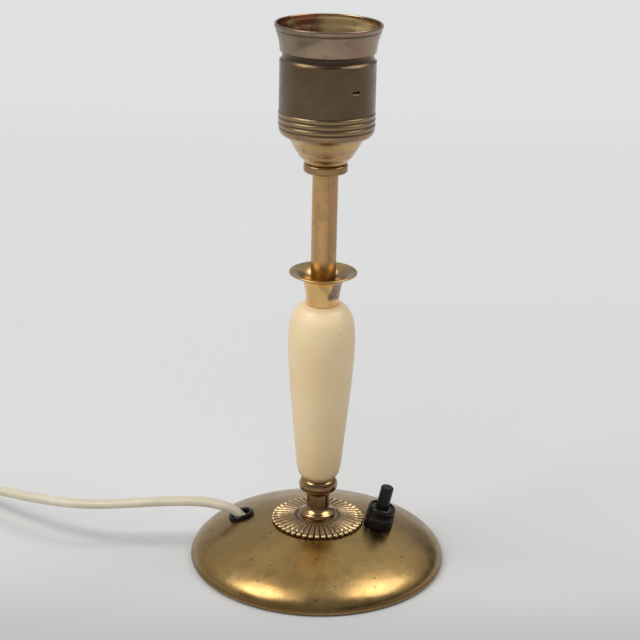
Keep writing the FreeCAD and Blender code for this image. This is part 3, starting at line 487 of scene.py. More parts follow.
def aged_metal(name, bright, dull, rough, coat=0.3, spun=0.0, specks=0.3):
    """Worn metal: cloudy tone, turning marks, dark and light specks, fine scratches and pits."""
    f = Finish(name, metallic=1.0, coat_weight=coat, coat_roughness=0.28, coat_ior=1.45)
    radius, height, rings = f.round_axis()
    cloud = f.noise(f.place, 38.0, 5.0, 0.6, 0.4)
    grain = f.noise(f.place, 900.0, 3.0, 0.6)
    marks = f.noise(rings, 2600.0, 2.0, 0.5)
    tone = f.mix(f.between(cloud, 0.33, 0.68), dull, bright)
    f.colour(f.mix(f.between(grain, 0.42, 0.6), f.mix(0.16, tone, dull), tone))
    dark = f.specks(950.0, 0.20, specks * 0.5)
    light = f.specks(800.0, 0.15, specks * 0.7)
    f.stain(dark, 0.8, scaled(dull, 0.2))
    f.stain(light, 0.85, scaled(bright, 1.7))
    wander = f.between(f.noise(f.place, 160.0, 4.0), 0.3, 0.7, rough * 0.8, rough * 1.2)
    f.gloss(f.plus(wander, f.times(dark, 0.2)))
    scratch = f.noise(f.stretched((1.0, 0.035, 1.0), (0.3, 0.5, 0.9)), 1500.0, 1.0, 0.4)
    scratch = f.times(f.between(scratch, 0.70, 0.76), f.between(f.noise(f.place, 75.0), 0.50, 0.6))
    f.stain(scratch, 0.35, scaled(dull, 0.5))
    f.bump(grain, 0.00003, 0.10)
    f.bump(marks, 0.00003, spun)
    f.bump(f.times(f.plus(scratch, dark), -1.0), 0.00003, 0.6)
    return f, radius, height


def dome_brass(bright, dull):
    """Satin brass of the foot: olive patina, browner towards the edge, and a brown line at the rim."""
    f, radius, height = aged_metal("Aged brass", bright, dull, 0.27, coat=0.06, spun=0.25, specks=0.70)
    rim_line = 0.0023
    edge = f.between(radius, 0.034, 0.056)
    f.stain(edge, 0.35, (0.27, 0.170, 0.070))
    lime = f.between(f.noise(f.place, 70.0, 4.0, 0.6, 1.0), 0.50, 0.72)
    f.stain(lime, 0.30, (0.27, 0.20, 0.085))
    blot = f.math("MAXIMUM", f.specks(240.0, 0.20, 0.24), f.specks(105.0, 0.12, 0.20))
    f.stain(blot, 0.75, (0.13, 0.075, 0.035))
    line = f.band(height, rim_line, 0.0010, 0.0002)
    f.stain(line, 0.6, (0.10, 0.045, 0.02))
    return f.material


def cast_brass():
    """Cast brass of the rosette: bright on its crests, brown and grey in its grooves."""
    bright, dull = (0.68, 0.48, 0.24), (0.52, 0.35, 0.17)
    f, _, _ = aged_metal("Cast brass", bright, dull, 0.27, coat=0.3, specks=0.5)
    recess = f.add("ShaderNodeAttribute", attribute_name="recess", output=2)
    uneven = f.times(f.minus(f.noise(f.place, 600.0), 0.5), 0.4)
    dirt = f.between(f.plus(recess, uneven), 0.10, 0.50)
    f.stain(dirt, 0.88, (0.100, 0.068, 0.045))
    f.gloss(f.between(recess, 0.3, 0.9, 0.28, 0.6))
    return f.material


def turned_brass(bright, dull):
    """Shinier brass of the turned stem, with patches of brown and mauve patina, and painted shade in
    vertical streaks on the tube's right side.
    """
    f, _, height = aged_metal("Turned brass", bright, dull, 0.16, coat=0.15, spun=0.35, specks=0.3)
    x = f.parts(f.place)[0]
    ring, cup_foot, cup_neck, cup_rim = foot_of("holder_ring"), 0.118, 0.122, 0.1325
    patina = f.between(f.noise(f.place, 95.0, 4.0, 0.6, 1.5), 0.50, 0.68)
    worn = f.between(height, 0.12, 0.13, 0.7, 0.25)
    upper = f.times(f.between(height, 0.1385, 0.1425), f.between(height, ring, ring - MM))
    f.stain(upper, 0.75, (0.63, 0.360, 0.150))
    neck = f.times(f.between(height, cup_foot, cup_neck), f.between(height, cup_rim + 0.0025, cup_rim))
    f.stain(neck, 0.85, (0.93, 0.60, 0.24))
    on_ring = f.between(height, ring, ring + 0.0003, 0.0, 0.8)
    lower = f.math("MAXIMUM", f.between(height, 0.060, 0.030), on_ring)
    f.stain(lower, 0.65, (0.26, 0.145, 0.07))
    f.stain(patina, worn, (0.15, 0.085, 0.06))
    slant = f.minus(x, f.times(f.minus(height, 0.125), 0.35))
    ragged = f.plus(slant, f.times(f.minus(f.noise(f.place, 420.0), 0.5), 0.004))
    stain = f.times(f.times(neck, f.between(height, 0.1252, 0.1258)), f.between(ragged, 0.0015, 0.0022))
    mottled = f.between(f.noise(f.place, 700.0, 4.0), 0.36, 0.56, 0.60, 0.85)
    f.stain(stain, mottled, (0.17, 0.130, 0.125))
    # Painted shade: darker vertical streaks on the right side of the tube, away from the light.
    shade_streaks = f.noise(f.stretched((1.0, 1.0, 0.02)), 900.0, 2.0)
    painted_side_shade = f.times(f.between(x, -0.0015, 0.0030), f.between(shade_streaks, 0.35, 0.62, 0.75, 0.35))
    f.stain(upper, painted_side_shade, (0.34, 0.195, 0.095))
    f.gloss(f.between(height, cup_foot, cup_neck, 0.17, 0.29))
    return f.material


def tinted_cap():
    """Lacquered cap whose thin brass coat has turned yellow, rose and mauve in patches."""
    bright, dull = (0.66, 0.45, 0.20), (0.50, 0.31, 0.14)
    f, _, height = aged_metal("Tinted cap", bright, dull, 0.26, coat=0.35, spun=0.25, specks=0.25)
    low = foot_of("lampholder_cap")
    tall = top_of("lampholder_cap") - low
    drift = f.plus(f.times(height, 150.0), f.noise(f.place, 55.0, 3.0, 0.5, 0.8))
    rose = f.between(f.math("SINE", f.times(drift, 5.0)), 0.1, 0.9)
    f.stain(rose, 0.42, (0.47, 0.26, 0.19))
    mauve = f.between(f.noise(f.place, 130.0, 3.0, 0.6, 1.0), 0.55, 0.7)
    f.stain(mauve, 0.45, (0.24, 0.17, 0.20))
    yellow = f.band(height, low + 0.43 * tall, 0.0022, 0.0008)
    f.stain(yellow, 0.42, (0.62, 0.44, 0.15))
    brown = f.between(height, low + 0.535 * tall, low + 0.56 * tall)
    f.stain(brown, 0.65, (0.24, 0.155, 0.085))
    shadow = f.between(height, low + 0.690 * tall, low + 0.715 * tall)
    f.stain(shadow, 0.8, (0.04, 0.024, 0.014))
    return f.material


def browned_shell(bright, dull):
    """Drum of the lampholder: plating gone dark olive brown, stained green and orange at the mouth, with
    painted shade in its crease and groove and a painted shadow in its slot.
    """
    f, radius, height = aged_metal("Browned shell", bright, dull, 0.34, coat=0.35, spun=0.4, specks=0.45)
    x = f.parts(f.place)[0]
    reeds_top, slot_foot, groove_middle, mouth_foot, crease_middle, lip_foot = (
        0.2080, 0.2190, 0.2309, 0.2320, 0.24165, 0.2431)
    reeds = f.times(f.between(radius, 0.02018, 0.02046), f.between(height, reeds_top + 0.0015, reeds_top))
    f.stain(reeds, 0.7, (0.40, 0.27, 0.13))
    mouth = f.between(height, mouth_foot, mouth_foot + 0.0015)
    f.stain(mouth, 0.80, (0.37, 0.268, 0.19))
    patch = f.noise(f.place, 120.0, 3.0, 0.55, 1.2)
    left = f.between(x, -0.006, -0.012)
    green = f.times(f.times(left, mouth), f.between(patch, 0.40, 0.55))
    f.stain(green, 0.4, (0.15, 0.160, 0.085))
    right = f.between(x, 0.007, 0.011)
    rust = f.times(f.times(right, mouth), f.between(patch, 0.48, 0.6))
    f.stain(rust, 0.35, (0.38, 0.16, 0.09))
    # Painted shade: a near black band in the crease under the rolled rim.
    crease_shade = f.band(height, crease_middle, 0.0007, 0.0001)
    f.stain(crease_shade, 0.75, (0.035, 0.02, 0.012))
    brown = f.between(f.noise(f.stretched((1.0, 1.0, 1.8)), 85.0, 4.0, 0.6, 0.5), 0.50, 0.70)
    f.stain(f.times(brown, mouth), 0.60, (0.13, 0.09, 0.06))
    lip = f.between(height, lip_foot, lip_foot + 0.0006)
    f.stain(lip, 0.7, (0.12, 0.07, 0.045))
    # Painted shadow: the block behind the slot is painted near black.
    slot_shadow = f.times(f.between(radius, 0.0198, 0.0196), f.between(height, slot_foot + 0.0005, slot_foot))
    f.colour(f.mix(slot_shadow, f.tone, (0.012, 0.008, 0.005)))
    # Painted shade: a near black band in the groove between the drum and the mouth.
    groove = f.band(height, groove_middle, 0.0010, 0.0003)
    f.stain(groove, 0.8, (0.03, 0.018, 0.010))
    return f.material


def yellow_inside():
    """Inside of the lampholder's shell: yellow green metal with a red stain."""
    bright, dull = (0.74, 0.53, 0.24), (0.46, 0.32, 0.15)
    f, _, height = aged_metal("Yellow inside", bright, dull, 0.20, coat=0.2, spun=0.3, specks=0.3)
    left = f.between(f.parts(f.place)[0], -0.002, -0.006)
    stain = f.times(left, f.between(f.noise(f.place, 160.0, 3.0), 0.42, 0.55))
    f.stain(stain, 0.7, (0.42, 0.09, 0.06))
    f.stain(f.between(height, 0.2422, 0.2432), 0.6, (0.13, 0.08, 0.05))
    return f.material


def plain_metal(name, tone, rough):
    """Plain worked metal with cloudy gloss and faint marks."""
    f = Finish(name, metallic=1.0)
    cloud = f.noise(f.place, 220.0, 4.0)
    f.colour(f.mix(f.between(cloud, 0.3, 0.7), scaled(tone, 0.72), tone))
    f.gloss(f.between(cloud, 0.3, 0.7, rough * 1.25, rough * 0.8))
    f.bump(f.noise(f.place, 2400.0, 2.0), 0.00002, 0.3)
    return f.material


def cast_iron():
    """Grey iron of the ballast with a sandy skin."""
    f = Finish("Cast iron", metallic=0.8, roughness=0.62)
    grain = f.noise(f.place, 1300.0, 4.0)
    f.colour(f.mix(f.between(grain, 0.35, 0.65), (0.10, 0.095, 0.09), (0.19, 0.185, 0.18)))
    f.bump(grain, 0.0002, 0.6)
    return f.material


def ivory_lacquer(light, shade):
    """Thick ivory lacquer on turned wood, a little uneven, with small brown marks and a painted shade
    towards its foot.
    """
    f = Finish("Ivory lacquer", roughness=0.42, coat_weight=0.18, coat_roughness=0.25, coat_ior=1.5,
               subsurface_weight=0.12, subsurface_scale=0.0015)
    f.put(f.shader.inputs["Subsurface Radius"], (1.0, 0.6, 0.3))
    _, height, rings = f.round_axis()
    cloud = f.noise(f.place, 30.0, 4.0)
    f.colour(f.mix(f.between(cloud, 0.3, 0.7), shade, light))
    # Painted shade: the lacquer is browner towards the bottom of the body, where less light falls.
    low = f.between(height, 0.075, 0.041)
    f.stain(low, 0.22, (0.55, 0.36, 0.17))
    fleck = f.specks(260.0, 0.12, 0.16)
    f.stain(fleck, 0.6, (0.22, 0.11, 0.05))
    seam = f.between(height, 0.0412, 0.0404)
    f.stain(seam, 0.85, (0.12, 0.06, 0.03))
    f.gloss(f.between(f.noise(f.place, 170.0, 3.0), 0.3, 0.7, 0.36, 0.46))
    f.bump(f.noise(f.place, 130.0, 3.0), 0.0003, 0.12)
    f.bump(f.noise(rings, 1500.0, 2.0), 0.00002, 0.2)
    return f.material


def black_moulding():
    """Glossy black moulded plastic with dust in its surface."""
    f = Finish("Black moulding", roughness=0.14, specular_ior_level=0.24)
    dust = f.specks(900.0, 0.14, 0.22)
    f.colour((0.0075, 0.0070, 0.0068))
    f.stain(dust, 0.5, (0.20, 0.18, 0.16))
    smear = f.noise(f.place, 240.0, 4.0)
    f.gloss(f.between(smear, 0.35, 0.7, 0.10, 0.24))
    f.bump(smear, 0.00006, 0.12)
    return f.material


def soft_plastic(name, tone, shade, rough=0.42):
    """Plastic of a cable or its fittings, a little cloudy, with grey dirt."""
    f = Finish(name, roughness=rough, subsurface_weight=0.08, subsurface_scale=0.001)
    cloud = f.noise(f.place, 60.0, 4.0, 0.6)
    f.colour(f.mix(f.between(cloud, 0.35, 0.7), shade, tone))
    f.stain(f.specks(420.0, 0.14, 0.2), 0.45, scaled(shade, 0.45))
    f.gloss(f.between(f.noise(f.place, 320.0), 0.3, 0.7, rough * 0.85, rough * 1.15))
    f.bump(f.noise(f.place, 900.0, 2.0), 0.00005, 0.15)
    return f.material


def grey_felt():
    """Dark green felt under the foot."""
    f = Finish("Felt", roughness=0.95, sheen_weight=0.4, sheen_roughness=0.5)
    fibre = f.noise(f.stretched((1.0, 0.3, 1.0)), 2600.0, 4.0, 0.7, 1.5)
    f.colour(f.mix(f.between(fibre, 0.35, 0.65), (0.012, 0.035, 0.022), (0.035, 0.075, 0.05)))
    f.bump(fibre, 0.0003, 0.6)
    return f.material


def porcelain():
    """White glazed porcelain of the lampholder's insert."""
    f = Finish("Porcelain", roughness=0.12, coat_weight=0.4, coat_roughness=0.05)
    cloud = f.between(f.noise(f.place, 90.0), 0.35, 0.7)
    f.colour(f.mix(cloud, (0.70, 0.68, 0.62), (0.80, 0.785, 0.74)))
    f.bump(f.noise(f.place, 260.0), 0.0001, 0.15)
    return f.material


# Rules that repeat, as geometry nodes

def node_group(name, sockets):
    """Geometry node group, its graph, its named inputs and their identifiers."""
    group = bpy.data.node_groups.new(name, "GeometryNodeTree")
    identifiers = {}
    for label, kind in sockets:
        socket = group.interface.new_socket(label, in_out="INPUT", socket_type=kind)
        identifiers[label] = socket.identifier
    group.interface.new_socket("Geometry", in_out="OUTPUT", socket_type="NodeSocketGeometry")
    graph = Graph(group)
    given = group.nodes.new("NodeGroupInput")
    return group, graph, {label: given.outputs[label] for label, _ in sockets}, identifiers


def finish_group(group, graph, geometry):
    """Gives a group its output."""
    out = group.nodes.new("NodeGroupOutput")
    graph.put(out.inputs[0], geometry)


def applied(made, group, identifiers, values):
    """The object with a node group run on it and its result kept as its mesh."""
    rule = made.modifiers.new("Rule", "NODES")
    rule.node_group = group
    for label, value in values.items():
        rule[identifiers[label]] = value
    return converted(made)


def radial_copies():
    """Group that repeats a sector round Z, welds the copies and gives them a finish."""
    group, g, given, names = node_group("Radial Copies", [
        ("Geometry", "NodeSocketGeometry"), ("Copies", "NodeSocketInt"),
        ("Weld Distance", "NodeSocketFloat"), ("Finish", "NodeSocketMaterial")])
    step = g.math("DIVIDE", 2 * math.pi, given["Copies"])
    turn = g.times(g.add("GeometryNodeInputIndex"), step)
    places = g.add("GeometryNodePoints", {"Count": given["Copies"]})
    copies = g.add("GeometryNodeInstanceOnPoints", {
        "Points": places, "Instance": given["Geometry"],
        "Rotation": g.add("FunctionNodeEulerToRotation", {0: g.vector(0.0, 0.0, turn)})})
    whole = g.add("GeometryNodeRealizeInstances", {"Geometry": copies})
    whole = g.add("GeometryNodeMergeByDistance", {"Geometry": whole, "Distance": given["Weld Distance"]})
    whole = g.add("GeometryNodeSetMaterial", {"Geometry": whole, "Material": given["Finish"]})
    finish_group(group, g, whole)
    return group, names


def rolled_thread():
    """Group that rolls a thread into a thin sleeve from its radius, pitch, depth and length."""
    group, g, given, names = node_group("Rolled Thread", [
        ("Geometry", "NodeSocketGeometry"), ("Foot", "NodeSocketFloat"), ("Length", "NodeSocketFloat"),
        ("Radius", "NodeSocketFloat"), ("Pitch", "NodeSocketFloat"), ("Depth", "NodeSocketFloat"),
        ("Finish", "NodeSocketMaterial")])
    sheet = g.add("GeometryNodeMeshGrid", {
        "Size X": 1.0, "Size Y": 1.0, "Vertices X": 145, "Vertices Y": 140})
    across, along, _ = g.parts(g.add("GeometryNodeInputPosition"))
    turn = g.times(g.plus(across, 0.5), 2 * math.pi)
    rise = g.times(g.plus(along, 0.5), given["Length"])
    rolls = g.times(g.math("DIVIDE", rise, given["Pitch"]), 2 * math.pi)
    wave = g.math("COSINE", g.minus(rolls, turn))
    reach = g.plus(given["Radius"], g.times(g.times(wave, 0.5), given["Depth"]))
    place = g.vector(g.times(reach, g.math("COSINE", turn)),
                     g.times(reach, g.math("SINE", turn)), g.plus(given["Foot"], rise))
    rolled = g.add("GeometryNodeSetPosition", {"Geometry": sheet, "Position": place})
    rolled = g.add("GeometryNodeMergeByDistance", {"Geometry": rolled, "Distance": 0.00001})
    rolled = g.add("GeometryNodeSetShadeSmooth", {"Geometry": rolled})
    rolled = g.add("GeometryNodeSetMaterial", {"Geometry": rolled, "Material": given["Finish"]})
    finish_group(group, g, rolled)
    return group, names


# Pieces of the foot and the stem

BORE = 0.0052
TUBE_BORE = 0.0046
WALL = 0.001
SWITCH_HOLE = 0.0050
GROMMET_HOLE = 0.00505
WELD = 0.000004


def new_piece(name, made):
    """Names a piece and its mesh."""
    made.name = made.data.name = name
    return made


def turned_piece(name, node, steps, corner=0.0002, bore=BORE):
    """Piece turned from its shares, bored through and with softened corners."""
    inner = bore / radius_of(node)
    line = traced(from_shares([(inner, 0.0)] + steps, node))
    return lathe(name, softened(line, corner))


def two_finishes(made, first, second, chosen):
    """The object with a first finish, and a second one on its chosen faces."""
    made.data.materials.clear()
    made.data.materials.append(first)
    made.data.materials.append(second)
    for face in made.data.polygons:
        face.material_index = 1 if chosen(face) else 0
    return made


def moved(made, matrix):
    """The object with its mesh moved, and the object left at the origin."""
    made.data.transform(matrix)
    return made


def hole_cutter(radius, place, axis, reach=0.012):
    """Cylinder that cuts a hole along an axis."""
    line = [(0, -reach), (radius, -reach), (radius, reach), (0, reach)]
    rod = lathe("Cutter", line, closed=False, steps=SMALL_STEPS)
    return moved(rod, facing(place, axis))


def dome_line():
    """Outside of the foot, from its bore to its rim."""
    inner = BORE / radius_of("base_shell")
    steps = [(inner, 1.0), DOME_SHARES[0], ("curve", DOME_SHARES[1:])]
    return traced(from_shares(steps, "base_shell"))


def height_on_dome(radius):
    """Height of the foot's outside at a radius."""
    line = dome_line()
    for start, end in zip(line, line[1:]):
        if start.x <= radius <= end.x:
            return start.y + (end.y - start.y) * (radius - start.x) / max(end.x - start.x, TINY)
    return line[-1].y


def foot_dome():
    """Spun dome of 1 mm sheet with a rolled-in lip, and holes for the switch and the flex."""
    rim, low = radius_of("base_shell"), foot_of("base_shell")
    outside = dome_line()
    lip = traced([outside[-1], ("arc", (rim - 0.00024, low + 0.00024), (rim - 0.0008, low)),
                  (rim - 0.004, low), (rim - 0.004, low + WALL), (rim - 0.0014, low + WALL)])[1:]
    inside = [point for point in reversed(shifted(outside, -WALL)) if point.y > low + WALL * 1.3]
    made = lathe("Foot_dome", softened(outside + lip + inside, 0.00015), steps=256)
    return carved(made, hole_cutter(SWITCH_HOLE, SWITCH_FOOT, SWITCH_AXIS),
                  hole_cutter(GROMMET_HOLE, GROMMET_MIDDLE, GROMMET_AXIS))


def sector(name, profile_at, copies, stations):
    """One sector of a ring: closed profiles of (radius, height, recess) side by side round Z."""
    build = bmesh.new()
    recess = build.verts.layers.float.new("recess")
    rows = []
    for i in range(stations + 1):
        across = -1 + 2 * i / stations
        turn = across * math.pi / copies
        row = []
        for radius, height, depth in profile_at(across):
            vertex = build.verts.new((radius * math.cos(turn), radius * math.sin(turn), height))
            vertex[recess] = depth
            row.append(vertex)
        rows.append(row)
    for first, second in zip(rows, rows[1:]):
        ring_faces(build, first, second)
    bmesh.ops.recalc_face_normals(build, faces=build.faces)
    return object_of(name, build)


def rib_profile(across):
    """Profile of the rosette at one place across a rib, from -1 to 1."""
    swell = math.sqrt(max(0.0, 1 - across ** 2))
    crest = swell ** 1.15
    bead = 0.0010
    middle = radius_of("rosette") - bead
    seat = top_of("rosette") - 0.00035
    bead_middle = height_on_dome(middle) + 0.0001 + bead * 0.85
    start = 0.0103
    profile = [(BORE, seat - 0.0014, 0), (BORE, seat, 0), (0.0088, seat, 0.3),
               (0.0093, seat - 0.0003, 1), (0.0099, seat - 0.0003, 1)]
    bead_top = bead_middle + bead * 0.85
    notch, notch_at, notch_width = 0.00024, 0.84, 0.06
    for i in range(17):
        share = i / 16
        radius = start + (middle - start) * share
        ridge = seat + 0.0001 + (bead_top - seat - 0.0001) * share
        ridge += 0.00005 * math.sin(math.pi * share)
        ridge -= notch * math.exp(-((share - notch_at) / notch_width) ** 2)
        depth = 0.00055 + 0.00100 * share
        profile.append((radius, ridge - depth * (1 - crest), 1 - crest + 0.22 * (1 - share)))
    valley = 0.04 + 0.96 * swell
    fall = profile[-1][1] - bead_middle
    for i in range(1, 8):
        turn = math.pi * 0.72 * i / 7
        radius = middle + bead * valley * math.sin(turn)
        reach = fall if turn < math.pi / 2 else bead * 0.85
        profile.append((radius, bead_middle + reach * math.cos(turn), 1 - crest * (1 - 0.25 * i / 7)))
    for radius in (middle, (middle + start) / 2, start):
        profile.append((radius, height_on_dome(radius) + 0.00002, 1))
    return profile


def rosette_piece(ribs):
    """Cast rosette: one beaded rib, repeated round the stem."""
    rib = sector("Rib", rib_profile, ribs, 14)
    group, names = radial_copies()
    rib = applied(rib, group, names, {"Copies": ribs, "Weld Distance": WELD, "Finish": None})
    return new_piece("Rosette", rib)


def collar_piece():
    """Turned collar: beaded foot, concave waist, cone with its arris and saucer bead."""
    steps = [(0.905, 0.0), ("arc", (0.968, 0.062), (0.88, 0.125)),
             ("curve", [(0.79, 0.150), (0.68, 0.195), (0.60, 0.255), (0.553, 0.33), (0.54, 0.39),
                        (0.558, 0.47), (0.605, 0.553)]),
             (0.650, 0.560), (0.655, 0.580), (0.915, 0.662), (0.94, 0.680),
             ("arc", (1.0, 0.80), (0.86, 0.925)), (0.80, 0.945), (0.79, 1.0), (0.60, 1.0)]
    return turned_piece("Stem_collar", "stem_collar", steps, 0.00018)


def wood_piece():
    """Turned wooden body."""
    steps = [(0.457, 0.0), ("curve", WOOD_SHARES + [(0.52, 1.0)]), (0.40, 1.0)]
    return turned_piece("Wood_body", "wood_body", steps, 0.0003)


def cup_piece():
    """Thin trumpet cup with a rounded rim."""
    steps = [(0.481, 0.0), (0.502, 0.32), (0.536, 0.51), (0.556, 0.60),
             ("curve", [(0.585, 0.68), (0.632, 0.76), (0.70, 0.83), (0.784, 0.885), (0.87, 0.92),
                        (0.975, 0.950)]),
             ("arc", (1.0, 0.975), (0.975, 1.0)),
             ("curve", [(0.86, 0.972), (0.74, 0.925), (0.64, 0.86), (0.56, 0.77), (0.50, 0.66),
                        (0.445, 0.5)]),
             (0.425, 0.136), (0.40, 0.136)]
    return turned_piece("Drip_cup", "drip_cup", steps, 0.0002)


def tube_piece():
    """Tube above the cup, with a fine turned edge at each end."""
    inner = TUBE_BORE / radius_of("stem_tube")
    steps = [(0.985, 0.0), (1.0, 0.004), (1.0, 0.996), (0.985, 1.0), (inner, 1.0)]
    return turned_piece("Stem_tube", "stem_tube", steps, 0.0001, TUBE_BORE)


def ring_piece():
    """Turned ring under the lampholder."""
    steps = [(0.90, 0.0), ("arc", (0.972, 0.075), (1.0, 0.26)), (1.0, 0.74),
             ("arc", (0.972, 0.925), (0.90, 1.0)), (0.60, 1.0)]
    return turned_piece("Holder_ring", "holder_ring", steps, 0.0001)


# Pieces of the lampholder

def cap_piece():
    """Spun cap: rounded bottom, cone, shoulder bead and the neck inside the shell."""
    steps = [(0.42, 0.0), ("curve", [(0.452, 0.030), (0.505, 0.100), (0.573, 0.155)]),
             ("curve", [(0.605, 0.214), (0.6465, 0.268), (0.685, 0.327), (0.721, 0.386), (0.754, 0.445),
                        (0.800, 0.518)]), (0.850, 0.541),
             ("curve", [(0.90, 0.555), (0.955, 0.590), (0.985, 0.635), (0.998, 0.68)]), (1.0, 0.718),
             (0.96, 0.718), (0.96, 1.0), (0.936, 1.0), (0.936, 0.70), (0.85, 0.70), (0.767, 0.53),
             (0.53, 0.18), (0.391, 0.041), (0.26, 0.041)]
    return turned_piece("Lampholder_cap", "lampholder_cap", steps, 0.00025)


SHELL_WALL = 0.00065
DRUM_RADIUS = 0.0202
SLOT_TURN = math.radians(-54.6)
SLOT_HEIGHT = 0.0176


def slot_block(inward, sizes, sink=0.0, tilt=0.0):
    """Block where the shell's slot is, set in by a share of its wall, lower by sink and tilted."""
    bpy.ops.mesh.primitive_cube_add(size=1)
    made = bpy.context.active_object
    height = foot_of("lampholder_shell") + SLOT_HEIGHT - sink
    place = Matrix.Translation((DRUM_RADIUS - SHELL_WALL * inward, 0, height))
    turn = Matrix.Rotation(SLOT_TURN, 4, "Z")
    return moved(made, turn @ place @ Matrix.Rotation(tilt, 4, "Y") @ Matrix.Diagonal((*sizes, 1)))


def shell_piece(inside):
    """Drawn shell: reeds, plain drum, groove, flared mouth with a rolled rim, and a lanced slot with a block
    behind it that is painted as its shadow.
    """
    foot = foot_of("lampholder_shell")

    def at(radius, height):
        return (radius * MM, foot + height * MM)

    steps = [at(19.55, 0), at(20.12, 0)]
    for low in (0.0, 2.35, 4.7):
        steps += [at(20.12, low + 0.3), ("arc", at(20.5, low + 1.2), at(20.12, low + 2.1))]
    steps += [at(20.0, 7.05), at(20.2, 7.2), at(20.2, 28.1), ("arc", at(19.05, 30.1), at(20.12, 32.0)),
              ("curve", [at(20.22, 33.2), at(20.5, 35.4), at(20.95, 37.4), at(21.55, 39.2),
                         at(21.95, 40.6)]),
              at(21.9, 40.95), ("curve", [at(22.15, 41.3), at(22.45, 41.9), at(22.5, 42.5)]),
              ("arc", at(22.35, 43.2), at(21.95, 43.4)), ("arc", at(21.6, 43.2), at(21.55, 42.6)),
              at(21.4, 41.2),
              ("curve", [at(20.9, 39.2), at(20.3, 37.4), at(19.85, 35.4), at(19.55, 33.2)]),
              at(19.5, 32.0), ("arc", at(18.45, 30.1), at(19.55, 28.1))]
    made = lathe("Lampholder_shell", softened(traced(steps), 0.00012), steps=200)
    made = carved(made, slot_block(0.0, (0.0030, 0.0036, 0.0017)))
    tongue = slot_block(0.35, (SHELL_WALL * 0.7, 0.0034, 0.0006), sink=0.0006, tilt=-0.5)
    # Block behind the slot that carries the slot's painted shadow.
    shadow_backing = slot_block(1.45, (SHELL_WALL * 0.4, 0.0042, 0.0025))
    made = new_piece("Lampholder_shell", joined("Shell", made, tongue, shadow_backing))
    return two_finishes(made, None, inside, faces_inward)


def faces_inward(face):
    """True for a face that looks towards the stem's axis."""
    return face.normal.dot(Vector((face.center.x, face.center.y, 0)).normalized()) < -0.15


def sleeve_piece(finish, pitch, depth):
    """Thread sleeve of the lampholder, rolled by its rule and given its wall."""
    group, names = rolled_thread()
    foot, radius, clearance = foot_of("thread_sleeve"), 0.01325, 0.00002
    made = object_of("Thread_sleeve", bmesh.new())
    made = applied(made, group, names, {
        "Foot": foot, "Length": top_of("thread_sleeve") - foot,
        "Radius": radius - depth / 2 + clearance, "Pitch": pitch, "Depth": depth, "Finish": finish})
    wall = made.modifiers.new("Wall", "SOLIDIFY")
    wall.thickness = 0.00036
    wall.offset = 1.0
    return converted(made)


# Switch and grommet

def nut_profile(across):
    """Profile of the switch nut at one place across a sector, from -1 to 1."""
    depth, width, skirt_radius, skirt_height = 0.00042, 0.30, 5.5, 1.5
    notch = depth * math.sqrt(max(0.0, 1 - (across / width) ** 2))
    points = [(5.0, 0.0), (6.3, 0.0), (6.6, 0.35), (6.6, 0.9), (6.6, 1.45), (6.6, 1.6), (6.6, 3.5),
              (6.6, 5.2), (6.5, 5.42), (6.28, 5.5), (6.26, 5.66), (6.35, 5.8), (6.35, 8.6),
              (6.3, 8.95), (6.0, 9.35), (5.7, 9.55), (5.5, 9.6), (5.25, 9.58), (5.1, 9.45), (5.05, 9.2)]
    profile = []
    for radius, height in points:
        cut = notch if radius > skirt_radius and height < skirt_height else 0.0
        profile.append((radius * MM - cut, height * MM, 1.0 if cut > 0.0001 else 0.0))
    return profile


def nut_piece(notches):
    """Moulded nut of the switch: a sector with one notch, repeated round its axis."""
    part = sector("Notch", nut_profile, notches, 20)
    group, names = radial_copies()
    part = applied(part, group, names, {"Copies": notches, "Weld Distance": WELD, "Finish": None})
    part = new_piece("Switch_nut", part)
    part.data.set_sharp_from_angle(angle=math.radians(34))
    return moved(part, facing(SWITCH_FOOT, SWITCH_AXIS))


def button_piece():
    """Push button with a rounded top and the flange that keeps it in."""
    low, high = reach_along("switch_button", SWITCH_FOOT, SWITCH_AXIS)
    line = traced([(0.0, low), (0.0046, low), (0.0046, low + 0.0014), (0.00292, low + 0.0014),
                   (0.00292, high - 0.0011), ("arc", (0.00262, high - 0.00032), (0.0019, high - 0.00008)),
                   (0.0009, high - 0.00001), (0.0, high)])
    made = lathe("Switch_button", softened(line, 0.00012, closed=False), closed=False, steps=SMALL_STEPS)
    return moved(made, facing(SWITCH_FOOT, SWITCH_AXIS))


def spring_piece():
    """Spring under the button, as the frame has it."""
    made = bpy.data.objects.new("Switch_spring", frame["nodes"]["switch_spring"].data.copy())
    bpy.context.scene.collection.objects.link(made)
    return made


def grommet_piece():
    """Grommet: a rounded lip on the dome, a neck through it and a lip below."""
    line = traced([(0.0041, -0.00245), (0.0054, -0.00245), (0.0054, -0.00135), (0.00495, -0.00135),
                   (0.00495, -0.0004), (0.0059, -0.0004), (0.0059, 0.0005),
                   ("arc", (0.0051, 0.0017), (0.0041, 0.0006))])
    made = lathe("Grommet", softened(line, 0.0001), steps=SMALL_STEPS)
    return moved(made, facing(GROMMET_MIDDLE, GROMMET_AXIS))


# Flex, its tie and its plug

FLEX_WIDTH = 0.0056
FLEX_HEIGHT = 0.0037
COIL_CENTRE = Vector((-0.217772, 0.028917, 0.0019))
COIL_INWARD = Vector((-0.43919, -0.89840, 0.0))
COIL_ENTRY = Vector((-0.89840, 0.43919, 0.0))
COIL_RADIUS = 0.0413
COIL_PITCH = 0.0061
COIL_TURNS = 8.25
TURNS_IN = 3.75
TURNS_CLIMB = 0.5
LAYER_RISE = 0.00375
TIE_LIFT = 0.00105
TIE_REACH = 0.014


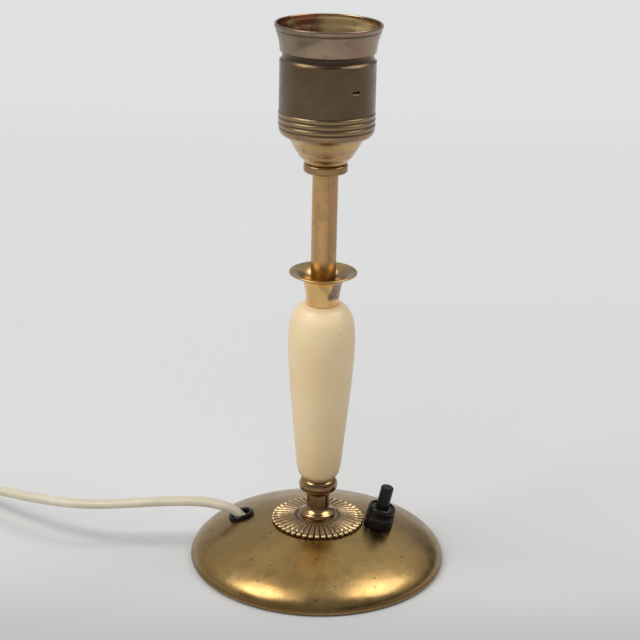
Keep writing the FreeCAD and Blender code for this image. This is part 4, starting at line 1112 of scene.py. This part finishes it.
def coil_place(turns):
    """Centreline of the coil: a spiral in, a climb and a spiral out, lifted over the tie."""
    climbed = min(max((turns - TURNS_IN) / TURNS_CLIMB, 0.0), 1.0)
    radius = COIL_RADIUS - COIL_PITCH * (min(turns, TURNS_IN) - max(turns - TURNS_IN - TURNS_CLIMB, 0.0))
    angle = 2 * math.pi * turns
    spoke = COIL_INWARD * -math.cos(angle) + COIL_ENTRY * math.sin(angle)
    off = radius * abs(math.remainder(angle - math.pi, 2 * math.pi))
    lift = TIE_LIFT * math.exp(-(off / TIE_REACH) ** 2)
    rise = LAYER_RISE * (1 - math.cos(math.pi * climbed)) / 2
    return COIL_CENTRE + spoke * radius + UP * (rise + lift)


def flex_line():
    """Points of the whole flex, read from a curve through its route, its coil and its tail."""
    per_turn = 20
    count = int(COIL_TURNS * per_turn)
    points = flex_route + [tuple(coil_place(i / per_turn)) for i in range(count + 1)] + tail_route
    curve = bpy.data.curves.new("Flex_line", "CURVE")
    curve.dimensions = "3D"
    curve.resolution_u = 5
    spline = curve.splines.new("NURBS")
    spline.points.add(len(points) - 1)
    for point, place in zip(spline.points, points):
        point.co = (*place, 1.0)
    spline.order_u = 3
    spline.use_endpoint_u = True
    carrier = bpy.data.objects.new("Flex_line", curve)
    mesh = bpy.data.meshes.new_from_object(carrier)
    path = [vertex.co.copy() for vertex in mesh.vertices]
    bpy.data.objects.remove(carrier)
    bpy.data.curves.remove(curve)
    bpy.data.meshes.remove(mesh)
    return path


def squared(value, power):
    """Sine or cosine raised to a power with its sign kept: below one, its ring turns squarer."""
    return math.copysign(abs(value) ** power, value)


def flex_piece(path):
    """Flat twin flex swept along its path, with a slight waist between its two cores."""
    build = bmesh.new()
    around, waist_depth, waist_width = 24, 0.13, 0.30
    shape = []
    for k in range(around):
        turn = 2 * math.pi * k / around
        wide, high = math.cos(turn), math.sin(turn)
        waist = 1 - waist_depth * math.exp(-(wide / waist_width) ** 2)
        shape.append((squared(wide, 0.75) * FLEX_WIDTH / 2, squared(high, 0.72) * FLEX_HEIGHT / 2 * waist))
    rings = []
    last = len(path) - 1
    for i, place in enumerate(path):
        ahead = (path[min(i + 1, last)] - path[max(i - 1, 0)]).normalized()
        side = ahead.cross(UP).normalized()
        lift = side.cross(ahead)
        rings.append([build.verts.new(place + side * wide + lift * high) for wide, high in shape])
    for first, second in zip(rings, rings[1:]):
        ring_faces(build, first, second)
    build.faces.new(rings[0])
    build.faces.new(rings[-1])
    bmesh.ops.recalc_face_normals(build, faces=build.faces)
    return object_of("Flex", build)


def tie_piece():
    """Strap round the coil's turns, with its small lock."""
    inner = COIL_RADIUS - COIL_PITCH * 3.5 - FLEX_WIDTH / 2 - 0.0002
    outer = COIL_RADIUS - COIL_PITCH * 0.5 + FLEX_WIDTH / 2 + 0.0002
    low, high = 0.0010, COIL_CENTRE.z + TIE_LIFT + LAYER_RISE + FLEX_HEIGHT / 2 + 0.0002
    thick, half, corner = 0.0009, 0.0025, 0.0016
    loops = []
    for grow in (0.0, thick):
        radius = corner + grow
        middles = [(outer - corner, high - corner, 0), (inner + corner, high - corner, 90),
                   (inner + corner, low + corner, 180), (outer - corner, low + corner, 270)]
        loop = []
        for u, z, start in middles:
            for k in range(9):
                turn = math.radians(start + 90 * k / 8)
                loop.append((u + radius * math.cos(turn), z + radius * math.sin(turn)))
        loops.append(loop)
    build = bmesh.new()
    rows = []
    for loop, across in ((loops[0], -half), (loops[0], half), (loops[1], half), (loops[1], -half)):
        rows.append([build.verts.new((u, across, z)) for u, z in loop])
    for first, second in zip(rows, rows[1:] + rows[:1]):
        ring_faces(build, first, second)
    lock = bmesh.ops.create_cube(build, size=1, matrix=Matrix.Translation((outer + thick, 0, 0.0050))
                                 @ Matrix.Diagonal((0.0022, 0.0062, 0.0034, 1)))["verts"]
    edges = list({edge for vertex in lock for edge in vertex.link_edges})
    bmesh.ops.bevel(build, geom=edges, offset=0.0005, segments=3, affect="EDGES")
    bmesh.ops.recalc_face_normals(build, faces=build.faces)
    made = object_of("Coil_tie", build)
    turn = math.atan2(COIL_INWARD.y, COIL_INWARD.x)
    return moved(made, Matrix.Translation((COIL_CENTRE.x, COIL_CENTRE.y, 0)) @ Matrix.Rotation(turn, 4, "Z"))


PLUG_END = Vector(tail_route[-1])
PLUG_TURN = math.radians(-21.80141)
RELIEF = 0.014
PLUG_DEPTH = 0.021
PIN_SLEEVE = 0.010


def plug_place():
    """Matrix of the plug, which runs out along X from the end of the flex."""
    return Matrix.Translation(PLUG_END) @ Matrix.Rotation(PLUG_TURN, 4, "Z")


def plug_piece():
    """Flat plug body, widest at its face, with a ringed strain relief."""
    build = bmesh.new()
    root_width, waist_width, face_width, waist_at = 0.0150, 0.0254, 0.0353, 0.45
    around, stations = 48, 24
    rows = []
    for i in range(stations + 1):
        share = i / stations
        width = root_width + (waist_width - root_width) * math.sin(math.pi / 2 * min(share / waist_at, 1.0))
        width += (face_width - waist_width) * max(0.0, (share - waist_at) / (1 - waist_at)) ** 1.3
        height = 0.0110 + 0.0027 * math.sin(math.pi / 2 * share)
        end = 0.955 if i in (0, stations) else 1.0
        row = []
        for k in range(around):
            turn = 2 * math.pi * k / around
            row.append(build.verts.new((RELIEF + PLUG_DEPTH * share,
                                        squared(math.cos(turn), 0.5) * width / 2 * end,
                                        squared(math.sin(turn), 0.6) * height / 2 * end)))
        rows.append(row)
    for first, second in zip(rows, rows[1:]):
        ring_faces(build, first, second)
    build.faces.new(rows[0])
    build.faces.new(rows[-1])
    bmesh.ops.recalc_face_normals(build, faces=build.faces)
    body = object_of("Body", build)
    steps = [(0.0, -0.0002), (0.0030, -0.0002)]
    for i in range(5):
        low = RELIEF * i / 5
        radius = 0.0033 + 0.0013 * low / RELIEF
        steps += [(radius - 0.0002, low), (radius, low + 0.0003), (radius + 0.0002, low + 0.0017),
                  (radius - 0.0002, low + 0.0019), (radius - 0.0004, low + 0.0022),
                  (radius - 0.0004, low + 0.0026)]
    steps += [(0.0046, RELIEF + 0.0005), (0.0, RELIEF + 0.0005)]
    relief = lathe("Relief", softened(traced(steps), 0.0001, closed=False), closed=False, steps=64)
    moved(relief, Matrix.Rotation(math.pi / 2, 4, "Y"))
    return moved(new_piece("Plug_body", joined("Plug", body, relief)), plug_place())


def pins_piece(metal, sleeve):
    """Two round pins with sleeved roots."""
    face = RELIEF + PLUG_DEPTH
    pins = []
    for side in (-1, 1):
        line = traced([(0.0, -0.006), (0.0019, -0.006), (0.0019, 0.010), (0.0020, 0.0101), (0.0020, 0.0172),
                       ("curve", [(0.0018, 0.0180), (0.0012, 0.0187), (0.0, 0.0190)])])
        pin = lathe("Pin", softened(line, 0.0001, closed=False), closed=False, steps=48)
        moved(pin, Matrix.Translation((face, side * 0.0093, 0)) @ Matrix.Rotation(math.pi / 2, 4, "Y"))
        pins.append(pin)
    made = new_piece("Plug_pins", joined("Pins", *pins))
    made = two_finishes(made, metal, sleeve, lambda part: part.center.x < face + PIN_SLEEVE)
    return moved(made, plug_place())


# Stage: floor, light and camera

FLOOR_NEAR = 0.28
FLOOR_FAR = 0.95
FLOOR_ROUND = 0.50
FLOOR_END = 1.15
FLOOR_GLOW = 0.93
FLOOR_FRONT = -0.6
FLOOR_BACK = 0.6
# Painted shade: the floor's tone by depth, darker in front of and near the lamp base, standing in for the
# fall-off of the light
FLOOR_SHADE_LEVELS = [(-0.6, 0.80), (-0.25, 0.60), (-0.12, 0.45), (-0.07, 0.50), (-0.03, 0.63), (0.03, 0.70),
                (0.12, 0.69), (0.3, 0.78), (0.45, 0.89), (0.6, 0.98)]


def seen_rays(g):
    """One for rays that show a surface directly, in a reflection or through glass."""
    rays = g.tree.nodes.new("ShaderNodeLightPath").outputs
    return g.math("MINIMUM", g.plus(g.plus(rays["Is Camera Ray"], rays["Is Glossy Ray"]),
                                    rays["Is Transmission Ray"]), 1.0)


def floor_finish(tone):
    """Pale floor: it takes the shadow near the lamp, and further off it shows its own tone. Its tone is
    painted darker in front of and near the lamp base, a painted shade for the fall-off of the light.
    """
    material = bpy.data.materials.new("Pale floor")
    material.use_nodes = True
    g = Graph(material.node_tree)
    shader = material.node_tree.nodes["Principled BSDF"]
    out = material.node_tree.nodes["Material Output"]
    x, y, _ = g.parts(g.add("ShaderNodeTexCoord", output=3))
    ramp = material.node_tree.nodes.new("ShaderNodeValToRGB")
    stops = ramp.color_ramp.elements
    places = [(at - FLOOR_FRONT) / (FLOOR_BACK - FLOOR_FRONT) for at, _ in FLOOR_SHADE_LEVELS]
    for at in places[1:-1]:
        stops.new(at)
    for stop, at, (_, level) in zip(stops, places, FLOOR_SHADE_LEVELS):
        stop.position = at
        stop.color = (level, level, level, 1.0)
    ramp.color_ramp.interpolation = "B_SPLINE"
    g.put(ramp.inputs[0], g.between(y, FLOOR_FRONT, FLOOR_BACK, kind="LINEAR"))
    # Painted shade: the floor's tone times its painted levels by depth
    g.put(shader.inputs["Base Color"], g.mix(1.0, tone, ramp.outputs[0], "MULTIPLY"))
    g.put(shader.inputs["Roughness"], 0.75)
    g.put(shader.inputs["Specular IOR Level"], 0.15)
    behind = g.between(y, FLOOR_NEAR, FLOOR_FAR)
    share = g.math("MAXIMUM", behind, g.between(g.length(x, y), FLOOR_ROUND, FLOOR_END))
    glow = g.add("ShaderNodeEmission", {"Color": (*tone, 1.0), "Strength": FLOOR_GLOW})
    blend = {0: g.times(share, seen_rays(g)), 1: shader.outputs[0], 2: glow}
    g.put(out.inputs["Surface"], g.add("ShaderNodeMixShader", blend))
    return material


def sky(level, tone):
    """Soft pale world, dimmer in front of the lamp, that meets the floor in its own tone."""
    world = bpy.data.worlds.new("Pale room")
    bpy.context.scene.world = world
    world.use_nodes = True
    g = Graph(world.node_tree)
    x, y, z = g.parts(g.add("ShaderNodeTexCoord", output=0))
    high = g.between(z, 0.0, 0.75, 0.62, 1.0)
    front = g.between(y, 0.1, -0.5, 1.0, 0.45)
    corner = g.times(g.between(x, 0.0, 0.5), g.between(z, 0.55, 0.2))
    shade = g.times(g.times(high, front), g.minus(1.0, g.times(corner, 0.92)))
    colour = g.mix(1.0, (0.985, 0.995, 1.0, 1.0), g.vector(shade, shade, shade), "MULTIPLY")
    horizon = g.times(seen_rays(g), g.between(z, 0.22, 0.04))
    back = world.node_tree.nodes["Background"]
    g.put(back.inputs["Color"], g.mix(horizon, colour, scaled(tone, FLOOR_GLOW)))
    g.put(back.inputs["Strength"], g.between(horizon, 0.0, 1.0, level, 1.0, kind="LINEAR"))


LIGHT_AIM = Vector((0, 0, 0.02))


def lamp_at(name, toward, distance, size, power):
    """Square area light in a direction from the aim point."""
    light = bpy.data.lights.new(name, "AREA")
    light.shape = "SQUARE"
    light.size = size
    light.energy = power
    light.color = (1.0, 0.985, 0.96)
    made = bpy.data.objects.new(name, light)
    direction = Vector(toward).normalized()
    turn = direction.to_track_quat("Z", "Y").to_matrix().to_4x4()
    made.matrix_world = Matrix.Translation(LIGHT_AIM + direction * distance) @ turn
    bpy.context.scene.collection.objects.link(made)
    return made


CAMERA_BACK = 0.699177
CAMERA_HEIGHT = 0.367802
CAMERA_PITCH = 0.3479036
CAMERA_ROLL = 0.0229377
CAMERA_YAW = -0.0013097
CAMERA_LENS = 95.901


def camera():
    """Camera at the photograph's place and angle."""
    data = bpy.data.cameras.new("Camera")
    data.lens = CAMERA_LENS
    data.sensor_width = 36.0
    data.clip_start, data.clip_end = 0.01, 50.0
    made = bpy.data.objects.new("Camera", data)
    level = Vector((math.sin(CAMERA_YAW), math.cos(CAMERA_YAW), 0))
    right = Vector((math.cos(CAMERA_YAW), -math.sin(CAMERA_YAW), 0))
    ahead = level * math.cos(CAMERA_PITCH) - UP * math.sin(CAMERA_PITCH)
    above = right.cross(ahead)
    across = right * math.cos(CAMERA_ROLL) + above * math.sin(CAMERA_ROLL)
    upward = above * math.cos(CAMERA_ROLL) - right * math.sin(CAMERA_ROLL)
    matrix = Matrix((across, upward, -ahead)).transposed().to_4x4()
    made.matrix_world = Matrix.Translation((0, -CAMERA_BACK, CAMERA_HEIGHT)) @ matrix
    bpy.context.scene.collection.objects.link(made)
    bpy.context.scene.camera = made


# Properties and operators

def colour_property(name, description, default):
    """Colour property with its usual limits."""
    return FloatVectorProperty(name=name, description=description, default=default, size=3,
                               subtype="COLOR", min=0.0, max=1.0)


class LampStageSettings(bpy.types.PropertyGroup):
    """Light and floor."""
    floor: colour_property("Floor", "Colour of the floor", (0.80, 0.805, 0.81))
    room: FloatProperty(name="Room light", description="Level of the room's light", default=0.68, min=0.0)
    key: FloatProperty(name="Lamps", description="Power of the studio lamps", default=5.0, min=0.0,
                       unit="POWER")


class LampFlexSettings(bpy.types.PropertyGroup):
    """Flex and its fittings."""
    colour: colour_property("Flex", "Colour of the flex and its plug", (0.60, 0.55, 0.44))
    shade: colour_property("Flex shade", "Colour of the flex where it has aged", (0.53, 0.47, 0.35))
    length: FloatProperty(name="Length", description="Whole length of the flex", default=1.8, min=0.1,
                          unit="LENGTH")


class LampFinishSettings(bpy.types.PropertyGroup):
    """Colours of the brass, the lampholder and the lacquer."""
    foot: colour_property("Foot", "Colour of the foot's brass where it is clean", (0.41, 0.265, 0.095))
    foot_dull: colour_property("Foot patina", "Colour of the foot's brass where it is dull",
                               (0.30, 0.188, 0.064))
    stem: colour_property("Stem", "Colour of the turned brass where it is clean", (0.52, 0.36, 0.15))
    stem_dull: colour_property("Stem patina", "Colour of the turned brass where it is dull",
                               (0.34, 0.215, 0.09))
    shell: colour_property("Lampholder", "Colour of the lampholder's drum", (0.150, 0.103, 0.055))
    shell_dull: colour_property("Lampholder patina", "Colour of the drum where it is dull",
                                (0.104, 0.068, 0.034))
    lacquer: colour_property("Lacquer", "Colour of the lacquered wood", (0.750, 0.590, 0.360))
    lacquer_shade: colour_property("Lacquer shade", "Colour of the lacquer where it has aged",
                                   (0.690, 0.520, 0.300))


class LampDetailSettings(bpy.types.PropertyGroup):
    """Counts and sizes of what repeats."""
    ribs: IntProperty(name="Ribs", description="Ribs of the rosette", default=44, min=12, max=90)
    notches: IntProperty(name="Notches", description="Notches round the switch nut", default=12,
                         min=4, max=40)
    pitch: FloatProperty(name="Thread pitch", description="Pitch of the lampholder's thread",
                         default=0.00362, min=0.001, precision=5, unit="LENGTH")
    depth: FloatProperty(name="Thread depth", description="Depth of the lampholder's thread",
                         default=0.00105, min=0.0, precision=5, unit="LENGTH")


class LampFoot(bpy.types.Operator):
    """Build the foot: dome, ballast, plate and felt"""
    bl_idname = "lamp.foot"
    bl_label = "Foot"

    def execute(self, context):
        tones = context.scene.lamp_finish
        brass = dome_brass(tuple(tones.foot), tuple(tones.foot_dull))
        fitted(foot_dome(), "lamp", brass, "aged_brass", "base_shell")
        dressed(plain_metal("Foot steel", (0.46, 0.45, 0.43), 0.34), "bottom_plate")
        dressed(cast_iron(), "base_ballast")
        dressed(grey_felt(), "felt_pad")
        return {"FINISHED"}


class LampRosette(bpy.types.Operator):
    """Build the cast rosette round the stem's foot"""
    bl_idname = "lamp.rosette"
    bl_label = "Rosette"

    def execute(self, context):
        rosette = rosette_piece(context.scene.lamp_detail.ribs)
        fitted(rosette, "lamp", cast_brass(), "cast_brass", "rosette")
        return {"FINISHED"}


class LampStem(bpy.types.Operator):
    """Build the stem: collar, wooden body, drip cup, tube, ring and the rod inside"""
    bl_idname = "lamp.stem"
    bl_label = "Stem"

    def execute(self, context):
        tones = context.scene.lamp_finish
        brass = turned_brass(tuple(tones.stem), tuple(tones.stem_dull))
        lacquer = ivory_lacquer(tuple(tones.lacquer), tuple(tones.lacquer_shade))
        fitted(collar_piece(), "lamp", brass, "turned_brass", "stem_collar")
        fitted(wood_piece(), "lamp", lacquer, "lacquered_wood", "wood_body")
        for build, node in ((cup_piece, "drip_cup"), (tube_piece, "stem_tube"), (ring_piece, "holder_ring")):
            fitted(build(), "lamp", brass, "turned_brass", node)
        steel = plain_metal("Rod steel", (0.52, 0.51, 0.49), 0.30)
        dressed(steel, "threaded_rod", "rod_nut", "rod_washer", "cap_nut")
        return {"FINISHED"}


class LampHolder(bpy.types.Operator):
    """Build the lampholder: cap, shell, insert, thread sleeve and contacts"""
    bl_idname = "lamp.holder"
    bl_label = "Lampholder"

    def execute(self, context):
        fitted(cap_piece(), "lamp", tinted_cap(), "tinted_cap", "lampholder_cap")
        shell = fitted(shell_piece(yellow_inside()), "lamp", None, "browned_shell", "lampholder_shell")
        tones = context.scene.lamp_finish
        shell.data.materials[0] = browned_shell(tuple(tones.shell), tuple(tones.shell_dull))
        contact = plain_metal("Contact brass", (0.66, 0.48, 0.20), 0.26)
        detail = context.scene.lamp_detail
        sleeve = sleeve_piece(contact, detail.pitch, detail.depth)
        fitted(sleeve, "lamp", None, "contact_brass", "thread_sleeve")
        dressed(porcelain(), "lampholder_insert")
        dressed(contact, "centre_contact", "side_contact", "terminal_blocks")
        dressed(plain_metal("Screw steel", (0.56, 0.55, 0.53), 0.28), "terminal_screws")
        return {"FINISHED"}


class LampSwitch(bpy.types.Operator):
    """Build the press switch and the grommet in the foot"""
    bl_idname = "lamp.switch"
    bl_label = "Switch and Grommet"

    def execute(self, context):
        black = black_moulding()
        nut = nut_piece(context.scene.lamp_detail.notches)
        fitted(nut, "lamp", black, "black_moulding", "switch_nut")
        fitted(button_piece(), "button", black, "black_moulding", "switch_button")
        fitted(grommet_piece(), "lamp", black, "black_moulding", "grommet")
        dressed(black, "switch_housing", "switch_disc")
        spring = spring_piece()
        steel = plain_metal("Spring steel", (0.50, 0.49, 0.48), 0.25)
        fitted(spring, "lamp", steel, "steel", "switch_spring")
        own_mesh(spring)
        dressed(plain_metal("Lug brass", (0.62, 0.45, 0.20), 0.30), "switch_lugs")
        return {"FINISHED"}


class LampFlex(bpy.types.Operator):
    """Build the flex with its coil, tie and plug, and the wires inside the foot"""
    bl_idname = "lamp.flex"
    bl_label = "Flex"

    def execute(self, context):
        settings = context.scene.lamp_flex
        cream = soft_plastic("Cream flex", tuple(settings.colour), tuple(settings.shade))
        path = flex_line()
        flex = fitted(flex_piece(path), "lamp", cream, "cream_flex", "cord_free", "cord_coil", "cord_tail")
        white = soft_plastic("Tie plastic", (0.62, 0.62, 0.60), (0.55, 0.55, 0.53), 0.35)
        tie = fitted(tie_piece(), "lamp", white, "tie_plastic", "coil_tie")
        plug = fitted(plug_piece(), "lamp", cream, "cream_flex", "plug_body")
        pins = pins_piece(plain_metal("Pin plating", (0.72, 0.71, 0.68), 0.16), cream)
        pins = fitted(pins, "lamp", None, "plated_pins", "plug_pins")
        dressed(cream, "inner_cord")
        blue = soft_plastic("Blue wire", (0.03, 0.10, 0.42), (0.02, 0.07, 0.30))
        brown = soft_plastic("Brown wire", (0.17, 0.065, 0.025), (0.11, 0.04, 0.015))
        dressed(blue, "neutral_lead")
        dressed(brown, "live_lead", "switched_lead")
        dressed(plain_metal("Clip steel", (0.52, 0.51, 0.50), 0.32), "cord_clip", "clip_screws")
        return {"FINISHED"}


class LampStage(bpy.types.Operator):
    """Set the floor, the light and the camera"""
    bl_idname = "lamp.stage"
    bl_label = "Stage"

    def execute(self, context):
        settings = context.scene.lamp_stage
        bpy.ops.mesh.primitive_plane_add(size=24)
        ground = context.active_object
        ground.name = "Floor"
        ground.data.materials.append(floor_finish(tuple(settings.floor)))
        sky(settings.room, tuple(settings.floor))
        lamp_at("Left lamp", (-0.54, -0.16, 0.83), 1.0, 0.50, settings.key)
        lamp_at("Right lamp", (0.53, 0.03, 0.84), 1.0, 0.50, settings.key * 0.8)
        fill = lamp_at("Front lamp", (-0.25, -0.85, 0.45), 1.3, 0.9, settings.key * 1.3)
        fill.visible_glossy = False
        camera()
        context.scene.view_settings.view_transform = "Standard"
        return {"FINISHED"}


class LampPanel(bpy.types.Panel):
    """Lists the lamp's settings and its pieces."""
    bl_idname = "VIEW3D_PT_lamp"
    bl_label = "Lamp"
    bl_space_type = "VIEW_3D"
    bl_region_type = "UI"
    bl_category = "Lamp"

    def draw(self, context):
        layout = self.layout
        for group in GROUPS:
            settings = getattr(context.scene, group)
            for key in settings.bl_rna.properties.keys():
                if key not in ("rna_type", "name"):
                    layout.prop(settings, key)
        for operator in OPERATORS:
            layout.operator(operator.bl_idname)


GROUPS = {"lamp_finish": LampFinishSettings, "lamp_detail": LampDetailSettings,
          "lamp_flex": LampFlexSettings, "lamp_stage": LampStageSettings}
OPERATORS = (LampFoot, LampRosette, LampStem, LampHolder, LampSwitch, LampFlex, LampStage)


def register():
    for kind in (*GROUPS.values(), *OPERATORS, LampPanel):
        bpy.utils.register_class(kind)
    for key, kind in GROUPS.items():
        setattr(bpy.types.Scene, key, PointerProperty(type=kind))


def unregister():
    for key in GROUPS:
        delattr(bpy.types.Scene, key)
    for kind in (LampPanel, *reversed(OPERATORS), *GROUPS.values()):
        bpy.utils.unregister_class(kind)


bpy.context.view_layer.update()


def main():
    """Builds every piece in order."""
    register()
    bpy.ops.lamp.foot()
    bpy.ops.lamp.rosette()
    bpy.ops.lamp.stem()
    bpy.ops.lamp.holder()
    bpy.ops.lamp.switch()
    bpy.ops.lamp.flex()
    bpy.ops.lamp.stage()


if __name__ == "__main__":
    main()
